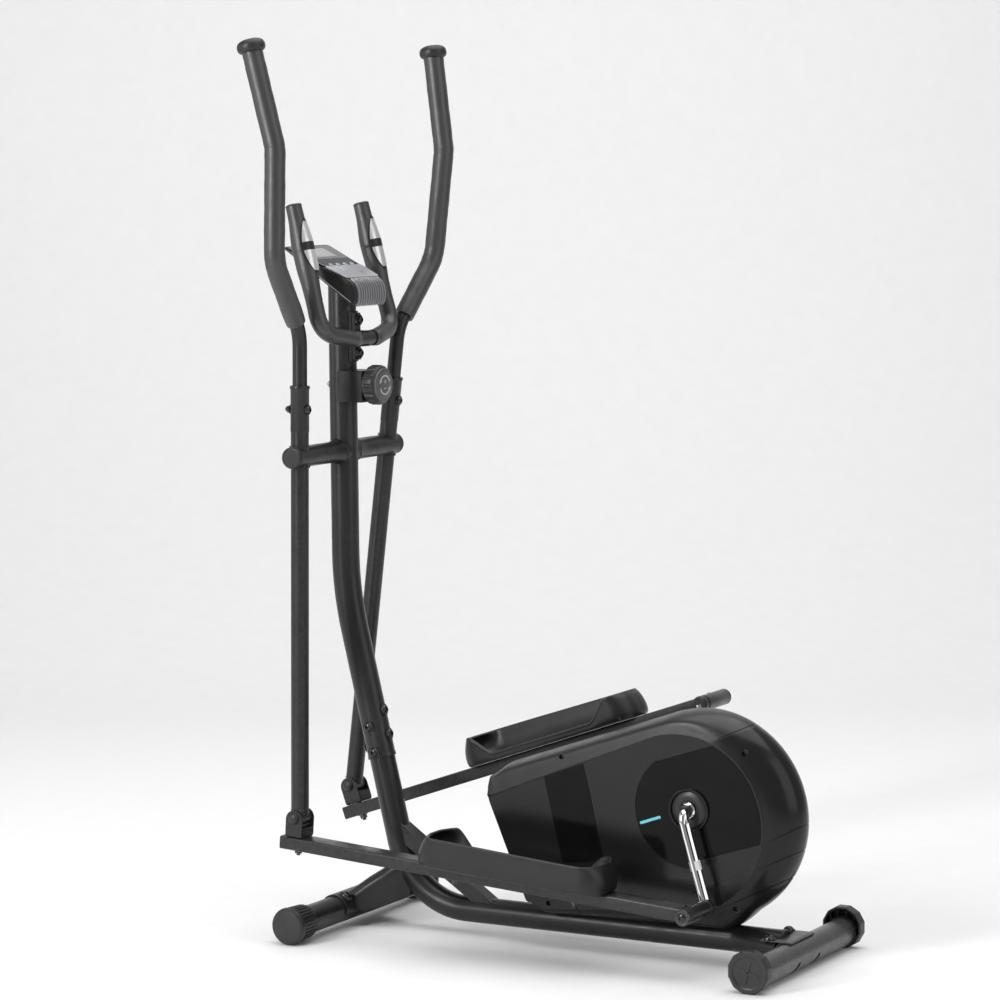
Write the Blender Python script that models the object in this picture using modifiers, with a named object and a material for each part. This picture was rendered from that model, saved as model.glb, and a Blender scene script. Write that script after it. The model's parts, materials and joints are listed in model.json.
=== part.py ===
"""Elliptical trainer, built in metres with +Z up.

+X points to the rear of the machine, where the crank housing is, -X to the console end.
The user faces -X, so -Y is the machine's left side and +Y its right side.
The origin lies on the floor under the middle of the machine.
"""
import math

import bmesh
import bpy
from mathutils import Matrix, Vector

# ---------------------------------------------------------------- driving dimensions

GAP = 0.0003                 # clearance between pieces that touch

MAST_X = -0.4145             # the arm pivot and the upright stretch of the mast
PIVOT_Z = 0.8595
CRANK_X = MAST_X + 0.7175
CRANK_Z = 0.2705
CRANK_RADIUS = 0.1658
CRANK_ANGLE = math.radians(16.3)   # left crank arm, measured from straight down towards the rear

ARM_Y = 0.149                # side distance of the swing arms and the pedal bars
ARM_LENGTH = 0.6464          # arm pivot to bar pivot
ARM_LEAN = {-1: math.radians(1.03), 1: math.radians(7.29)}   # lower end swung to the front
BAR_DROP = 0.047             # bar pivot above the middle of the pedal bar
BAR_LENGTH = 0.7806          # bar pivot to crank pin, along the bar

MAST_RADIUS = 0.025
MAST_FOOT = 0.305
MAST_BEND_Z = 0.607
FRAME_RADIUS = 0.0232
FRAME_Z = 0.0425
LEAN = math.radians(13.35)   # lean of the lower mast and of its socket
SOCKET_TOP = 0.400
TUBE_WALL = 0.0015

FRONT_FOOT_X = MAST_X + 0.0155
FRONT_FOOT_Z = 0.0335
FRONT_FOOT_HALF = 0.242
REAR_FOOT_X = MAST_X + 0.895
REAR_FOOT_Z = 0.0278
REAR_FOOT_HALF = 0.2045
FOOT_TUBE_RADIUS = 0.025
WHEEL_RADIUS = 0.0335
LEVELLER_RADIUS = 0.0377

HOUSING_HALF = 0.056
HOUSING_WALL = 0.0025
HOUSING_REAR_X = MAST_X + 0.726
HOUSING_REAR_Z = 0.253
HOUSING_REAR_RADIUS = 0.185
HOUSING_SLOPE = math.radians(21.5)

FLYWHEEL_X = MAST_X + 0.478
FLYWHEEL_Z = 0.210
FLYWHEEL_RADIUS = 0.095
PULLEY_RADIUS = 0.100
HUB_PULLEY_RADIUS = 0.020
BELT_THICKNESS = 0.003
BELT_CLEARANCE = 0.0012      # keeps the flat facets of both pulleys clear of the belt
BELT_Y = 0.032
BELT_WIDTH = 0.012

TRAY_FRONT = 0.262
TRAY_REAR = 0.632
TRAY_INNER = 0.098
TRAY_OUTER = 0.207
TRAY_WALL = 0.0035

KNOB_Z = 0.980
CONSOLE_FACE_SLOPE = math.atan2(0.0425, 0.092)

SIDES = {"left": -1, "right": 1}

# ---------------------------------------------------------------- scene and materials


def clear_scene():
    for obj in list(bpy.data.objects):
        bpy.data.objects.remove(obj, do_unlink=True)


clear_scene()
parts = bpy.data.collections.new("elliptical_trainer")
cutters = bpy.data.collections.new("cutters")
bpy.context.scene.collection.children.link(parts)
bpy.context.scene.collection.children.link(cutters)


def material(name, colour, roughness, metallic):
    mat = bpy.data.materials.new(name)
    mat.use_nodes = True
    shader = mat.node_tree.nodes["Principled BSDF"]
    shader.inputs["Base Color"].default_value = (*colour, 1.0)
    shader.inputs["Roughness"].default_value = roughness
    shader.inputs["Metallic"].default_value = metallic
    mat.diffuse_color = (*colour, 1.0)
    return mat


BLACK_PAINT = material("black_paint", (0.018, 0.018, 0.019), 0.45, 0.0)
MATTE_PLASTIC = material("matte_plastic", (0.022, 0.022, 0.023), 0.6, 0.0)
GLOSS_PLASTIC = material("gloss_plastic", (0.01, 0.01, 0.011), 0.12, 0.0)
SILVER_PLASTIC = material("silver_plastic", (0.6, 0.61, 0.63), 0.3, 0.2)
FOAM = material("foam", (0.02, 0.02, 0.02), 0.9, 0.0)
RUBBER = material("rubber", (0.02, 0.02, 0.02), 0.75, 0.0)
CHROME = material("chrome", (0.8, 0.8, 0.82), 0.08, 1.0)
STEEL = material("steel", (0.45, 0.45, 0.46), 0.3, 1.0)
BLACK_STEEL = material("black_steel", (0.05, 0.05, 0.05), 0.35, 0.9)
CAST_IRON = material("cast_iron", (0.12, 0.12, 0.12), 0.6, 0.8)
LENS = material("lens", (0.5, 0.53, 0.52), 0.1, 0.0)

# ---------------------------------------------------------------- modelling helpers


def add_object(name, data, mat=None, parent=None, guide=False):
    obj = bpy.data.objects.new(name, data)
    if guide:
        cutters.objects.link(obj)
        obj.hide_render = True
        obj.display_type = "WIRE"
    else:
        parts.objects.link(obj)
        data.materials.append(mat)
    obj.parent = parent
    return obj


def frame_empty(name, location, tilt=0.0):
    """An empty on a joint's axis; tilt turns it about Y."""
    empty = bpy.data.objects.new(name, None)
    cutters.objects.link(empty)
    empty.hide_render = True
    empty.location = location
    empty.rotation_euler = (0.0, tilt, 0.0)
    bpy.context.view_layer.update()
    return empty


def mesh_from(bm, name, smooth_angle=40.0):
    bmesh.ops.recalc_face_normals(bm, faces=bm.faces)
    mesh = bpy.data.meshes.new(name)
    bm.to_mesh(mesh)
    bm.free()
    mesh.shade_smooth()
    mesh.set_sharp_from_angle(angle=math.radians(smooth_angle))
    return mesh


AXIS_TURN = {
    "x": Matrix.Rotation(math.radians(90), 4, "Y"),
    "y": Matrix.Rotation(math.radians(-90), 4, "X"),
    "z": Matrix.Identity(4),
}


def add_cylinder(bm, radius, start, end, axis, centre, segments=24, end_radius=None):
    """A cylinder or cone into bm, from start to end along the axis, around the centre."""
    length = end - start
    middle = Vector(centre)
    middle["xyz".index(axis)] = (start + end) / 2
    matrix = Matrix.Translation(middle) @ AXIS_TURN[axis]
    tip = radius if end_radius is None else end_radius
    bmesh.ops.create_cone(bm, cap_ends=True, segments=segments, radius1=radius, radius2=tip,
                          depth=length, matrix=matrix)


def around(radius, segments=16):
    """The radius of a faceted bore whose flats clear a round piece of the given radius."""
    return (radius + GAP) / math.cos(math.pi / segments)


def add_box(bm, low, high):
    size = Vector(high) - Vector(low)
    middle = (Vector(high) + Vector(low)) / 2
    matrix = Matrix.Translation(middle) @ Matrix.Diagonal((*size, 1.0))
    return bmesh.ops.create_cube(bm, size=1.0, matrix=matrix)["verts"]


def cylinder(name, radius, start, end, axis, centre, mat=None, parent=None, guide=False,
             segments=16, end_radius=None):
    bm = bmesh.new()
    add_cylinder(bm, radius, start, end, axis, centre, segments, end_radius)
    return add_object(name, mesh_from(bm, name), mat, parent, guide)


def box(name, low, high, mat=None, parent=None, guide=False, bevel=0.0):
    bm = bmesh.new()
    add_box(bm, low, high)
    obj = add_object(name, mesh_from(bm, name, 30.0), mat, parent, guide)
    if bevel:
        round_edges(obj, bevel)
    return obj


def round_edges(obj, width, segments=1):
    mod = obj.modifiers.new("round_edges", "BEVEL")
    mod.width = width
    mod.segments = segments
    mod.limit_method = "ANGLE"
    mod.angle_limit = math.radians(40)
    return mod


def boolean(obj, other, operation):
    mod = obj.modifiers.new(other.name, "BOOLEAN")
    mod.operation = operation
    mod.solver = "EXACT"
    mod.object = other


def cut(obj, *others):
    for other in others:
        boolean(obj, other, "DIFFERENCE")


def join(obj, *others):
    for other in others:
        boolean(obj, other, "UNION")


def mirror_y(side, y_from, y_to):
    """The two ends of a Y stretch given for the right side, in rising order."""
    return tuple(sorted((side * y_from, side * y_to)))


def rounded_path(corners, radius, steps=4):
    """The corners joined by straight stretches, with an arc of the radius at each inner one."""
    corners = [Vector(corner) for corner in corners]
    path = [corners[0]]
    for before, corner, after in zip(corners, corners[1:], corners[2:]):
        to_before = (before - corner).normalized()
        to_after = (after - corner).normalized()
        half = to_before.angle(to_after) / 2
        tangent = radius / math.tan(half)
        centre = corner + (to_before + to_after).normalized() * radius / math.sin(half)
        start = corner + to_before * tangent - centre
        end = corner + to_after * tangent - centre
        sweep = start.angle(end)
        for step in range(steps + 1):
            share = step / steps
            blend = (math.sin((1 - share) * sweep) * start + math.sin(share * sweep) * end)
            path.append(centre + blend / math.sin(sweep))
    path.append(corners[-1])
    return path


def tube(name, path, radius, mat=None, parent=None, guide=False, wall=None, resolution=4):
    """A round tube along a path; with a wall it is hollow and open at both ends."""
    curve = bpy.data.curves.new(name, "CURVE")
    curve.dimensions = "3D"
    curve.bevel_depth = radius
    curve.bevel_resolution = resolution
    curve.use_fill_caps = wall is None
    spline = curve.splines.new("POLY")
    spline.points.add(len(path) - 1)
    for point, place in zip(spline.points, path):
        point.co = (*place, 1.0)
    source = bpy.data.objects.new(name + "_curve", curve)
    cutters.objects.link(source)
    if wall:
        shell = source.modifiers.new("wall", "SOLIDIFY")
        shell.thickness = wall
        shell.offset = -1.0
        shell.use_even_offset = True
    bpy.context.view_layer.update()
    graph = bpy.context.evaluated_depsgraph_get()
    mesh = bpy.data.meshes.new_from_object(source.evaluated_get(graph))
    bpy.data.objects.remove(source)
    mesh.name = name
    bm = bmesh.new()
    bm.from_mesh(mesh)
    bmesh.ops.remove_doubles(bm, verts=bm.verts, dist=0.00001)
    bpy.data.meshes.remove(mesh)
    return add_object(name, mesh_from(bm, name, 50.0), mat, parent, guide)


def turned(name, profile, mat, parent=None, location=(0, 0, 0), rotation=(0, 0, 0), steps=16):
    """A profile of (radius, height) points turned about Z, listed from top to bottom."""
    mesh = bpy.data.meshes.new(name)
    bm = bmesh.new()
    points = [bm.verts.new((radius, 0.0, height)) for radius, height in profile]
    for upper, lower in zip(points, points[1:]):
        bm.edges.new((upper, lower))
    bm.to_mesh(mesh)
    bm.free()
    obj = add_object(name, mesh, mat, parent)
    obj.location = location
    obj.rotation_euler = rotation
    screw = obj.modifiers.new("turn", "SCREW")
    screw.steps = steps
    screw.render_steps = steps
    screw.use_merge_vertices = True
    screw.merge_threshold = 0.00005
    return obj


def plate(name, outline, start, end, mat=None, parent=None, guide=False):
    """An XZ outline extruded along Y from start to end."""
    bm = bmesh.new()
    face = bm.faces.new([bm.verts.new((x, start, z)) for x, z in outline])
    sweep = bmesh.ops.extrude_face_region(bm, geom=[face])
    moved = [item for item in sweep["geom"] if isinstance(item, bmesh.types.BMVert)]
    bmesh.ops.translate(bm, verts=moved, vec=(0.0, end - start, 0.0))
    return add_object(name, mesh_from(bm, name, 30.0), mat, parent, guide)


def arc(centre_x, centre_z, radius, first, last, steps):
    """Points of an arc in the XZ plane, angles in radians from +X towards +Z."""
    angles = [first + (last - first) * step / steps for step in range(steps + 1)]
    return [(centre_x + radius * math.cos(a), centre_z + radius * math.sin(a)) for a in angles]


# ---------------------------------------------------------------- joint frames

arm_frames = {}
bar_frames = {}
for side_name, side in SIDES.items():
    lean = ARM_LEAN[side]
    arm_frames[side] = frame_empty(f"{side_name}_arm_frame", (MAST_X, 0.0, PIVOT_Z), lean)
    bar_pivot = Vector((MAST_X - ARM_LENGTH * math.sin(lean), 0.0,
                        PIVOT_Z - ARM_LENGTH * math.cos(lean)))
    crank_pin = Vector((CRANK_X - side * CRANK_RADIUS * math.sin(CRANK_ANGLE), 0.0,
                        CRANK_Z + side * CRANK_RADIUS * math.cos(CRANK_ANGLE)))
    run = crank_pin - bar_pivot
    rise = math.atan2(run.z, run.x) + math.atan2(BAR_DROP, BAR_LENGTH)
    bar_frames[side] = frame_empty(f"{side_name}_bar_frame", bar_pivot, -rise)
crank_frame = frame_empty("crank_frame", (CRANK_X, 0.0, CRANK_Z))

# ---------------------------------------------------------------- main frame

BRACE_HALF = 0.013
NECK_HALF = 0.075
POST_HALF = 0.015
FRAME_SEAT_Z = 0.0612       # what stands on the beam starts above the housing floor
BEAM_END_X = REAR_FOOT_X - FOOT_TUBE_RADIUS - 0.002


def socket_point(height):
    """A point on the leaning centre line that the mast and its socket share."""
    return Vector((MAST_X + (MAST_BEND_Z - height) * math.tan(LEAN), 0.0, height))


def neck(name):
    """The tapered neck that reaches forward and widens over the front foot tube."""
    bm = bmesh.new()
    verts = add_box(bm, (FRONT_FOOT_X - 0.012, -NECK_HALF, 0.034), (MAST_X + 0.13, NECK_HALF, 0.064))
    for vert in verts:
        if vert.co.x > MAST_X + 0.1:
            vert.co.y *= 0.26
            vert.co.z = 0.140 if vert.co.z > 0.05 else 0.055
            if vert.co.z > 0.1:
                vert.co.x = MAST_X + 0.102
    return add_object(name, mesh_from(bm, name, 30.0), guide=True)


def brace(name):
    """The slanted square tube between the socket and the beam."""
    top = MAST_X + 0.113
    outline = [(top, 0.197), (MAST_X + 0.318, 0.055), (MAST_X + 0.270, 0.055), (top - 0.008, 0.167)]
    return plate(name, outline, -BRACE_HALF, BRACE_HALF, guide=True)


def build_main_frame():
    corner = socket_point(FRAME_Z)
    path = rounded_path([socket_point(SOCKET_TOP), corner, (BEAM_END_X, 0.0, FRAME_Z)], 0.140, 5)
    frame = tube("main_frame", path, FRAME_RADIUS, BLACK_PAINT, resolution=4)
    bore = tube("main_frame_bore", path_longer(path, 0.01), FRAME_RADIUS - TUBE_WALL, guide=True)
    cut(frame, bore)
    join(frame, neck("front_neck"), brace("frame_brace"))
    cut(frame, cylinder("front_tube_seat", around(FOOT_TUBE_RADIUS), -0.1, 0.1, "y",
                        (FRONT_FOOT_X, 0, FRONT_FOOT_Z), guide=True))
    saddle_top = REAR_FOOT_Z + FOOT_TUBE_RADIUS + 0.0055
    saddle = box("rear_saddle", (REAR_FOOT_X - 0.052, -0.056, saddle_top - 0.005),
                 (REAR_FOOT_X + 0.026, 0.056, saddle_top), guide=True)
    join(frame, saddle)
    post = box("crank_post", (CRANK_X - 0.022, -POST_HALF, FRAME_SEAT_Z),
               (CRANK_X + 0.022, POST_HALF, CRANK_Z - 0.012), guide=True)
    shell = cylinder("bearing_shell", 0.025, -0.022, 0.022, "y", (CRANK_X, 0, CRANK_Z), guide=True)
    join(frame, post, shell)
    cut(frame, cylinder("bearing_bore", around(BEARING_RADIUS), -0.05, 0.05, "y",
                        (CRANK_X, 0, CRANK_Z), guide=True))
    for tag, y_low in (("left", -0.030), ("right", 0.043)):
        fork = plate(f"fork_{tag}", fork_outline(tag), y_low, y_low + 0.004, guide=True)
        join(frame, fork)
    join(frame, box("fork_riser", (FLYWHEEL_X - 0.020, -0.012, FRAME_SEAT_Z),
                    (FLYWHEEL_X + 0.020, 0.012, FRAME_SEAT_Z + 0.008), guide=True))
    join(frame, box("fork_foot", (FLYWHEEL_X - 0.021, -0.029, FRAME_SEAT_Z + 0.006),
                    (FLYWHEEL_X + 0.021, 0.046, FRAME_SEAT_Z + 0.012), guide=True))
    cut(frame, cylinder("axle_hole", around(WHEEL_AXLE_RADIUS, 12), -0.05, 0.05, "y",
                        (FLYWHEEL_X, 0, FLYWHEEL_Z), guide=True, segments=12))
    join(frame, cylinder("brake_pin", 0.004, -0.029, 0.012, "y", (BRAKE_X, 0, BRAKE_Z),
                         guide=True, segments=12))
    return frame


def path_longer(path, extra):
    """The same path with both ends pushed out."""
    first = path[0] + (path[0] - path[1]).normalized() * extra
    last = path[-1] + (path[-1] - path[-2]).normalized() * extra
    return [first, *path[1:-1], last]


BRAKE_ARM = FLYWHEEL_RADIUS + 0.011
BRAKE_X = FLYWHEEL_X + BRAKE_ARM * math.cos(math.radians(48))
BRAKE_Z = FLYWHEEL_Z + BRAKE_ARM * math.sin(math.radians(48))


def fork_outline(tag):
    """The flywheel fork; its left plate also carries the pin of the brake bracket."""
    low = FRAME_SEAT_Z + 0.008
    outline = [(FLYWHEEL_X - 0.018, low), (FLYWHEEL_X + 0.018, low)]
    if tag == "left":
        outline += [(FLYWHEEL_X + 0.022, FLYWHEEL_Z - 0.01)]
        outline += arc(BRAKE_X, BRAKE_Z, 0.009, math.radians(-40), math.radians(130), 5)
    else:
        outline += [(FLYWHEEL_X + 0.018, FLYWHEEL_Z + 0.016)]
    outline += [(FLYWHEEL_X - 0.018, FLYWHEEL_Z + 0.016)]
    return outline


# ---------------------------------------------------------------- mast

CROSS_HALF = 0.0855
CROSS_RADIUS = 0.019
AXLE_RADIUS = 0.008
CONSOLE_SEAT_SLOPE = math.atan2(0.102, 0.131)
CONSOLE_SEAT_Z = 1.1659       # just under the console above the middle of the mast


def build_mast():
    foot = socket_point(MAST_FOOT)
    top = (MAST_X, 0.0, CONSOLE_SEAT_Z + 0.025)
    path = rounded_path([top, (MAST_X, 0.0, MAST_BEND_Z), foot], 0.62, 5)
    mast = tube("mast", path, MAST_RADIUS, BLACK_PAINT, resolution=5)
    slope_cut = box("seat_cut", (-0.09, -0.06, -0.0015), (0.09, 0.06, 0.09), guide=True)
    slope_cut.location = (MAST_X, 0.0, CONSOLE_SEAT_Z)
    slope_cut.rotation_euler = (0.0, CONSOLE_SEAT_SLOPE, 0.0)
    inner = tube("mast_bore", path_longer(path, 0.01), FRAME_RADIUS + 2 * GAP, guide=True, resolution=5)
    cut(mast, slope_cut, inner)
    join(mast, cylinder("cross_tube", CROSS_RADIUS, -CROSS_HALF, CROSS_HALF, "y",
                        (MAST_X, 0, PIVOT_Z), guide=True, segments=24))
    cut(mast, cylinder("cross_bore", around(AXLE_RADIUS), -0.1, 0.1, "y", (MAST_X, 0, PIVOT_Z),
                       guide=True))
    seat = box("console_seat", (-0.030, -0.030, -0.0035), (0.030, 0.030, 0.0), guide=True)
    seat.location = slope_cut.location
    seat.rotation_euler = slope_cut.rotation_euler
    join(mast, seat)
    join(mast, box("bar_mount", (MAST_X + 0.020, -0.016, BAR_MOUNT_LOW),
                   (MAST_X + BAR_MOUNT_DEPTH, 0.016, BAR_MOUNT_HIGH), guide=True))
    cut(mast, cylinder("bar_mount_seat", around(HANDLE_RADIUS), -0.05, 0.05, "y",
                       (HANDLE_LOOP_X, 0, HANDLE_LOOP_Z), guide=True))
    return mast


BAR_MOUNT_LOW = 1.024
BAR_MOUNT_HIGH = 1.108
BAR_MOUNT_DEPTH = 0.034
HANDLE_RADIUS = 0.0125
HANDLE_LOOP_X = MAST_X + 0.0455
HANDLE_LOOP_Z = 1.063


def build_pivot_axle():
    return cylinder("pivot_axle", AXLE_RADIUS, -0.1755, 0.1755, "y", (MAST_X, 0, PIVOT_Z), STEEL)


# ---------------------------------------------------------------- feet


def build_foot_tube(name, x, z, half):
    path = [(x, -half, z), (x, half, z)]
    return tube(name, path, FOOT_TUBE_RADIUS, BLACK_PAINT, wall=TUBE_WALL)


def build_transport_wheel(side_name, side):
    """A ribbed drum that turns on the end of the front foot tube."""
    low, high = mirror_y(side, FRONT_FOOT_HALF - 0.061, FRONT_FOOT_HALF)
    centre = (FRONT_FOOT_X, 0.0, FRONT_FOOT_Z)
    wheel = cylinder(f"transport_wheel_{side_name}", WHEEL_RADIUS, low, high, "y", centre, RUBBER,
                     segments=20)
    round_edges(wheel, 0.006)
    bore_low, bore_high = mirror_y(side, FRONT_FOOT_HALF - 0.08, FRONT_FOOT_HALF - 0.012)
    cut(wheel, cylinder(f"wheel_bore_{side_name}", around(FOOT_TUBE_RADIUS), bore_low, bore_high, "y",
                        centre, guide=True))
    return wheel


def build_leveller(side_name, side):
    """A twelve-sided cap, off centre on the tube, that is turned to level the machine."""
    low, high = mirror_y(side, REAR_FOOT_HALF - 0.022, REAR_FOOT_HALF)
    cap = cylinder(f"rear_leveller_{side_name}", LEVELLER_RADIUS, low, high, "y",
                   (REAR_FOOT_X, 0.0, LEVELLER_RADIUS * math.cos(math.pi / 12)), RUBBER, segments=12)
    spin_flat = Matrix.Rotation(math.pi / 12, 4, "Y")
    centre = Vector((REAR_FOOT_X, 0.0, LEVELLER_RADIUS * math.cos(math.pi / 12)))
    cap.data.transform(Matrix.Translation(centre) @ spin_flat @ Matrix.Translation(-centre))
    round_edges(cap, 0.003)
    bore_low, bore_high = mirror_y(side, REAR_FOOT_HALF - 0.05, REAR_FOOT_HALF - 0.004)
    cut(cap, cylinder(f"leveller_bore_{side_name}", around(FOOT_TUBE_RADIUS), bore_low, bore_high, "y",
                      (REAR_FOOT_X, 0.0, REAR_FOOT_Z), guide=True))
    return cap


# ---------------------------------------------------------------- crank housing


def housing_outline():
    """Side outline of the housing, anticlockwise seen from the left side."""
    tangent = math.pi / 2 + HOUSING_SLOPE
    x = MAST_X
    outline = [(x + 0.395, 0.072), (x + 0.430, 0.058), (x + 0.800, 0.058)]
    outline += arc(HOUSING_REAR_X, HOUSING_REAR_Z, HOUSING_REAR_RADIUS, math.radians(-58), tangent, 16)
    outline += [(x + 0.345, 0.3185), (x + 0.322, 0.300), (x + 0.313, 0.267)]
    return outline


def build_housing_shell(side_name, side):
    """Half of the housing: an open shell that meets the other half at the middle plane."""
    bm = bmesh.new()
    face = bm.faces.new([bm.verts.new((x, side * GAP / 2, z)) for x, z in housing_outline()])
    flat = bmesh.ops.extrude_face_region(bm, geom=[face])
    verts = [item for item in flat["geom"] if isinstance(item, bmesh.types.BMVert)]
    outer = [item for item in flat["geom"] if isinstance(item, bmesh.types.BMFace)]
    bmesh.ops.translate(bm, verts=verts, vec=(0.0, side * (HOUSING_HALF - 0.020), 0.0))
    for inset, rise in ((0.0045, 0.012), (0.0100, 0.008)):
        bmesh.ops.inset_region(bm, faces=outer, thickness=inset, use_even_offset=False)
        rim = {vert for item in outer for vert in item.verts}
        bmesh.ops.translate(bm, verts=list(rim), vec=(0.0, side * rise, 0.0))
    if face.is_valid:
        bmesh.ops.delete(bm, geom=[face], context="FACES_ONLY")
    mesh = bpy.data.meshes.new(f"housing_{side_name}")
    outward = outer[0]
    outward.normal_update()
    if outward.normal.y * side < 0:
        bmesh.ops.reverse_faces(bm, faces=bm.faces)
    bm.to_mesh(mesh)
    bm.free()
    mesh.shade_smooth()
    mesh.set_sharp_from_angle(angle=math.radians(30))
    shell = add_object(f"housing_{side_name}", mesh, GLOSS_PLASTIC)
    wall = shell.modifiers.new("wall", "SOLIDIFY")
    wall.thickness = HOUSING_WALL
    wall.offset = -1.0
    wall.use_even_offset = True
    hole_low, hole_high = mirror_y(side, 0.040, 0.070)
    hole = cylinder(f"hub_hole_{side_name}", 0.026, hole_low, hole_high, "y", (CRANK_X, 0, CRANK_Z),
                    guide=True)
    slot = cylinder(f"beam_slot_{side_name}", FRAME_RADIUS + 2 * GAP, CRANK_X - 0.45, CRANK_X + 0.3,
                    "x", (0, 0, FRAME_Z), guide=True, segments=24)
    cut(shell, hole, slot)
    return shell


def build_hub_cover(side_name, side):
    """The raised ring around the axle."""
    profile = [(0.0170, 0.0), (0.0170, 0.0050), (0.0300, 0.0050), (0.0325, 0.0022), (0.0345, 0.0060),
               (0.0378, 0.0045), (0.0378, 0.0)]
    closed = [*profile, profile[0]]
    cover = turned(f"hub_cover_{side_name}", closed, MATTE_PLASTIC,
                   location=(CRANK_X, side * (HOUSING_HALF + GAP), CRANK_Z),
                   rotation=(-side * math.pi / 2, 0.0, 0.0), steps=20)
    return cover


# ---------------------------------------------------------------- drive train

CRANK_SHAFT_RADIUS = 0.0095
CRANK_ARM_INNER = 0.0785
CRANK_ARM_OUTER = 0.0945
BEARING_RADIUS = 0.0193
WHEEL_AXLE_RADIUS = 0.006


def crank_arm_outline():
    """A tapering arm with round ends, hanging straight down from the axle."""
    top = arc(0.0, 0.0, 0.0135, 0.0, math.pi, 6)
    tip = arc(0.0, -CRANK_RADIUS, 0.0155, math.pi, 2 * math.pi, 6)
    waist_left = (-0.0100, -CRANK_RADIUS + 0.028)
    waist_right = (0.0100, -CRANK_RADIUS + 0.028)
    return [*top, waist_left, *tip, waist_right]


def build_crank():
    """The one-piece crank: an axle with a left arm down and a right arm up."""
    crank = cylinder("crank", CRANK_SHAFT_RADIUS, -CRANK_ARM_INNER - 0.004, CRANK_ARM_INNER + 0.004,
                     "y", (0, 0, 0), CHROME, crank_frame)
    for side in (-1, 1):
        low, high = mirror_y(side, CRANK_ARM_INNER, CRANK_ARM_OUTER)
        arm = plate(f"crank_arm_{side}", crank_arm_outline(), low, high, parent=crank_frame, guide=True)
        turn = CRANK_ANGLE if side > 0 else CRANK_ANGLE + math.pi
        arm.rotation_euler = (0.0, -(turn + math.pi), 0.0)
        round_edges(arm, 0.003)
        join(crank, arm)
    return crank


def build_crank_bearing(side_name, side):
    start = 0.0125
    bore = around(CRANK_SHAFT_RADIUS)
    profile = [(bore, 0.0), (bore, 0.010), (BEARING_RADIUS, 0.010), (BEARING_RADIUS, 0.0)]
    return turned(f"crank_bearing_{side_name}", [*profile, profile[0]], STEEL,
                  location=(CRANK_X, side * start, CRANK_Z),
                  rotation=(-side * math.pi / 2, 0.0, 0.0))


def build_drive_pulley():
    low = BELT_Y - BELT_WIDTH / 2
    pulley = cylinder("drive_pulley", PULLEY_RADIUS, low, low + BELT_WIDTH, "y", (0, 0, 0),
                      MATTE_PLASTIC, crank_frame, segments=28)
    cut(pulley, cylinder("pulley_bore", around(CRANK_SHAFT_RADIUS), 0.0, 0.1, "y", (0, 0, 0),
                         parent=crank_frame, guide=True))
    for step in range(5):
        angle = 2 * math.pi * step / 5
        place = (0.06 * math.cos(angle), 0.0, 0.06 * math.sin(angle))
        cut(pulley, cylinder(f"pulley_window_{step}", 0.022, 0.0, 0.1, "y", place,
                             parent=crank_frame, guide=True, segments=8))
    return pulley


def belt_outline(offset):
    """The belt's path around both pulleys, pushed out by the offset."""
    big = PULLEY_RADIUS + offset
    small = HUB_PULLEY_RADIUS + offset
    run_x = CRANK_X - FLYWHEEL_X
    run_z = CRANK_Z - FLYWHEEL_Z
    axis = math.atan2(run_z, run_x)
    spread = math.acos((big - small) / math.hypot(run_x, run_z))
    outline = arc(CRANK_X, CRANK_Z, big, axis - math.pi + spread, axis + math.pi - spread, 20)
    outline += arc(FLYWHEEL_X, FLYWHEEL_Z, small, axis + math.pi - spread, axis + math.pi + spread, 5)
    return outline


def build_belt():
    low = BELT_Y - BELT_WIDTH / 2 + 0.001
    high = BELT_Y + BELT_WIDTH / 2 - 0.001
    belt = plate("drive_belt", belt_outline(BELT_CLEARANCE + BELT_THICKNESS), low, high, RUBBER)
    cut(belt, plate("belt_inside", belt_outline(BELT_CLEARANCE), low - 0.01, high + 0.01, guide=True))
    return belt


def build_flywheel():
    centre = (FLYWHEEL_X, 0, FLYWHEEL_Z)
    wheel = cylinder("flywheel", FLYWHEEL_RADIUS, -0.020, 0.004, "y", centre, CAST_IRON, segments=28)
    round_edges(wheel, 0.002)
    hub = cylinder("flywheel_hub", HUB_PULLEY_RADIUS, 0.003, BELT_Y + BELT_WIDTH / 2, "y", centre,
                   guide=True)
    join(wheel, hub)
    cut(wheel, cylinder("flywheel_bore", around(WHEEL_AXLE_RADIUS, 12), -0.05, 0.05, "y", centre,
                        guide=True, segments=12))
    return wheel


def build_flywheel_axle():
    centre = (FLYWHEEL_X, 0, FLYWHEEL_Z)
    axle = cylinder("flywheel_axle", WHEEL_AXLE_RADIUS, -0.0400, 0.0515, "y", centre, STEEL,
                    segments=12)
    for tag, low, high in (("left", -0.0375, -0.0305), ("right", 0.0475, 0.0510)):
        nut = cylinder(f"axle_nut_{tag}", 0.0105, low, high, "y", centre, guide=True, segments=6)
        join(axle, nut)
    return axle


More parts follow.
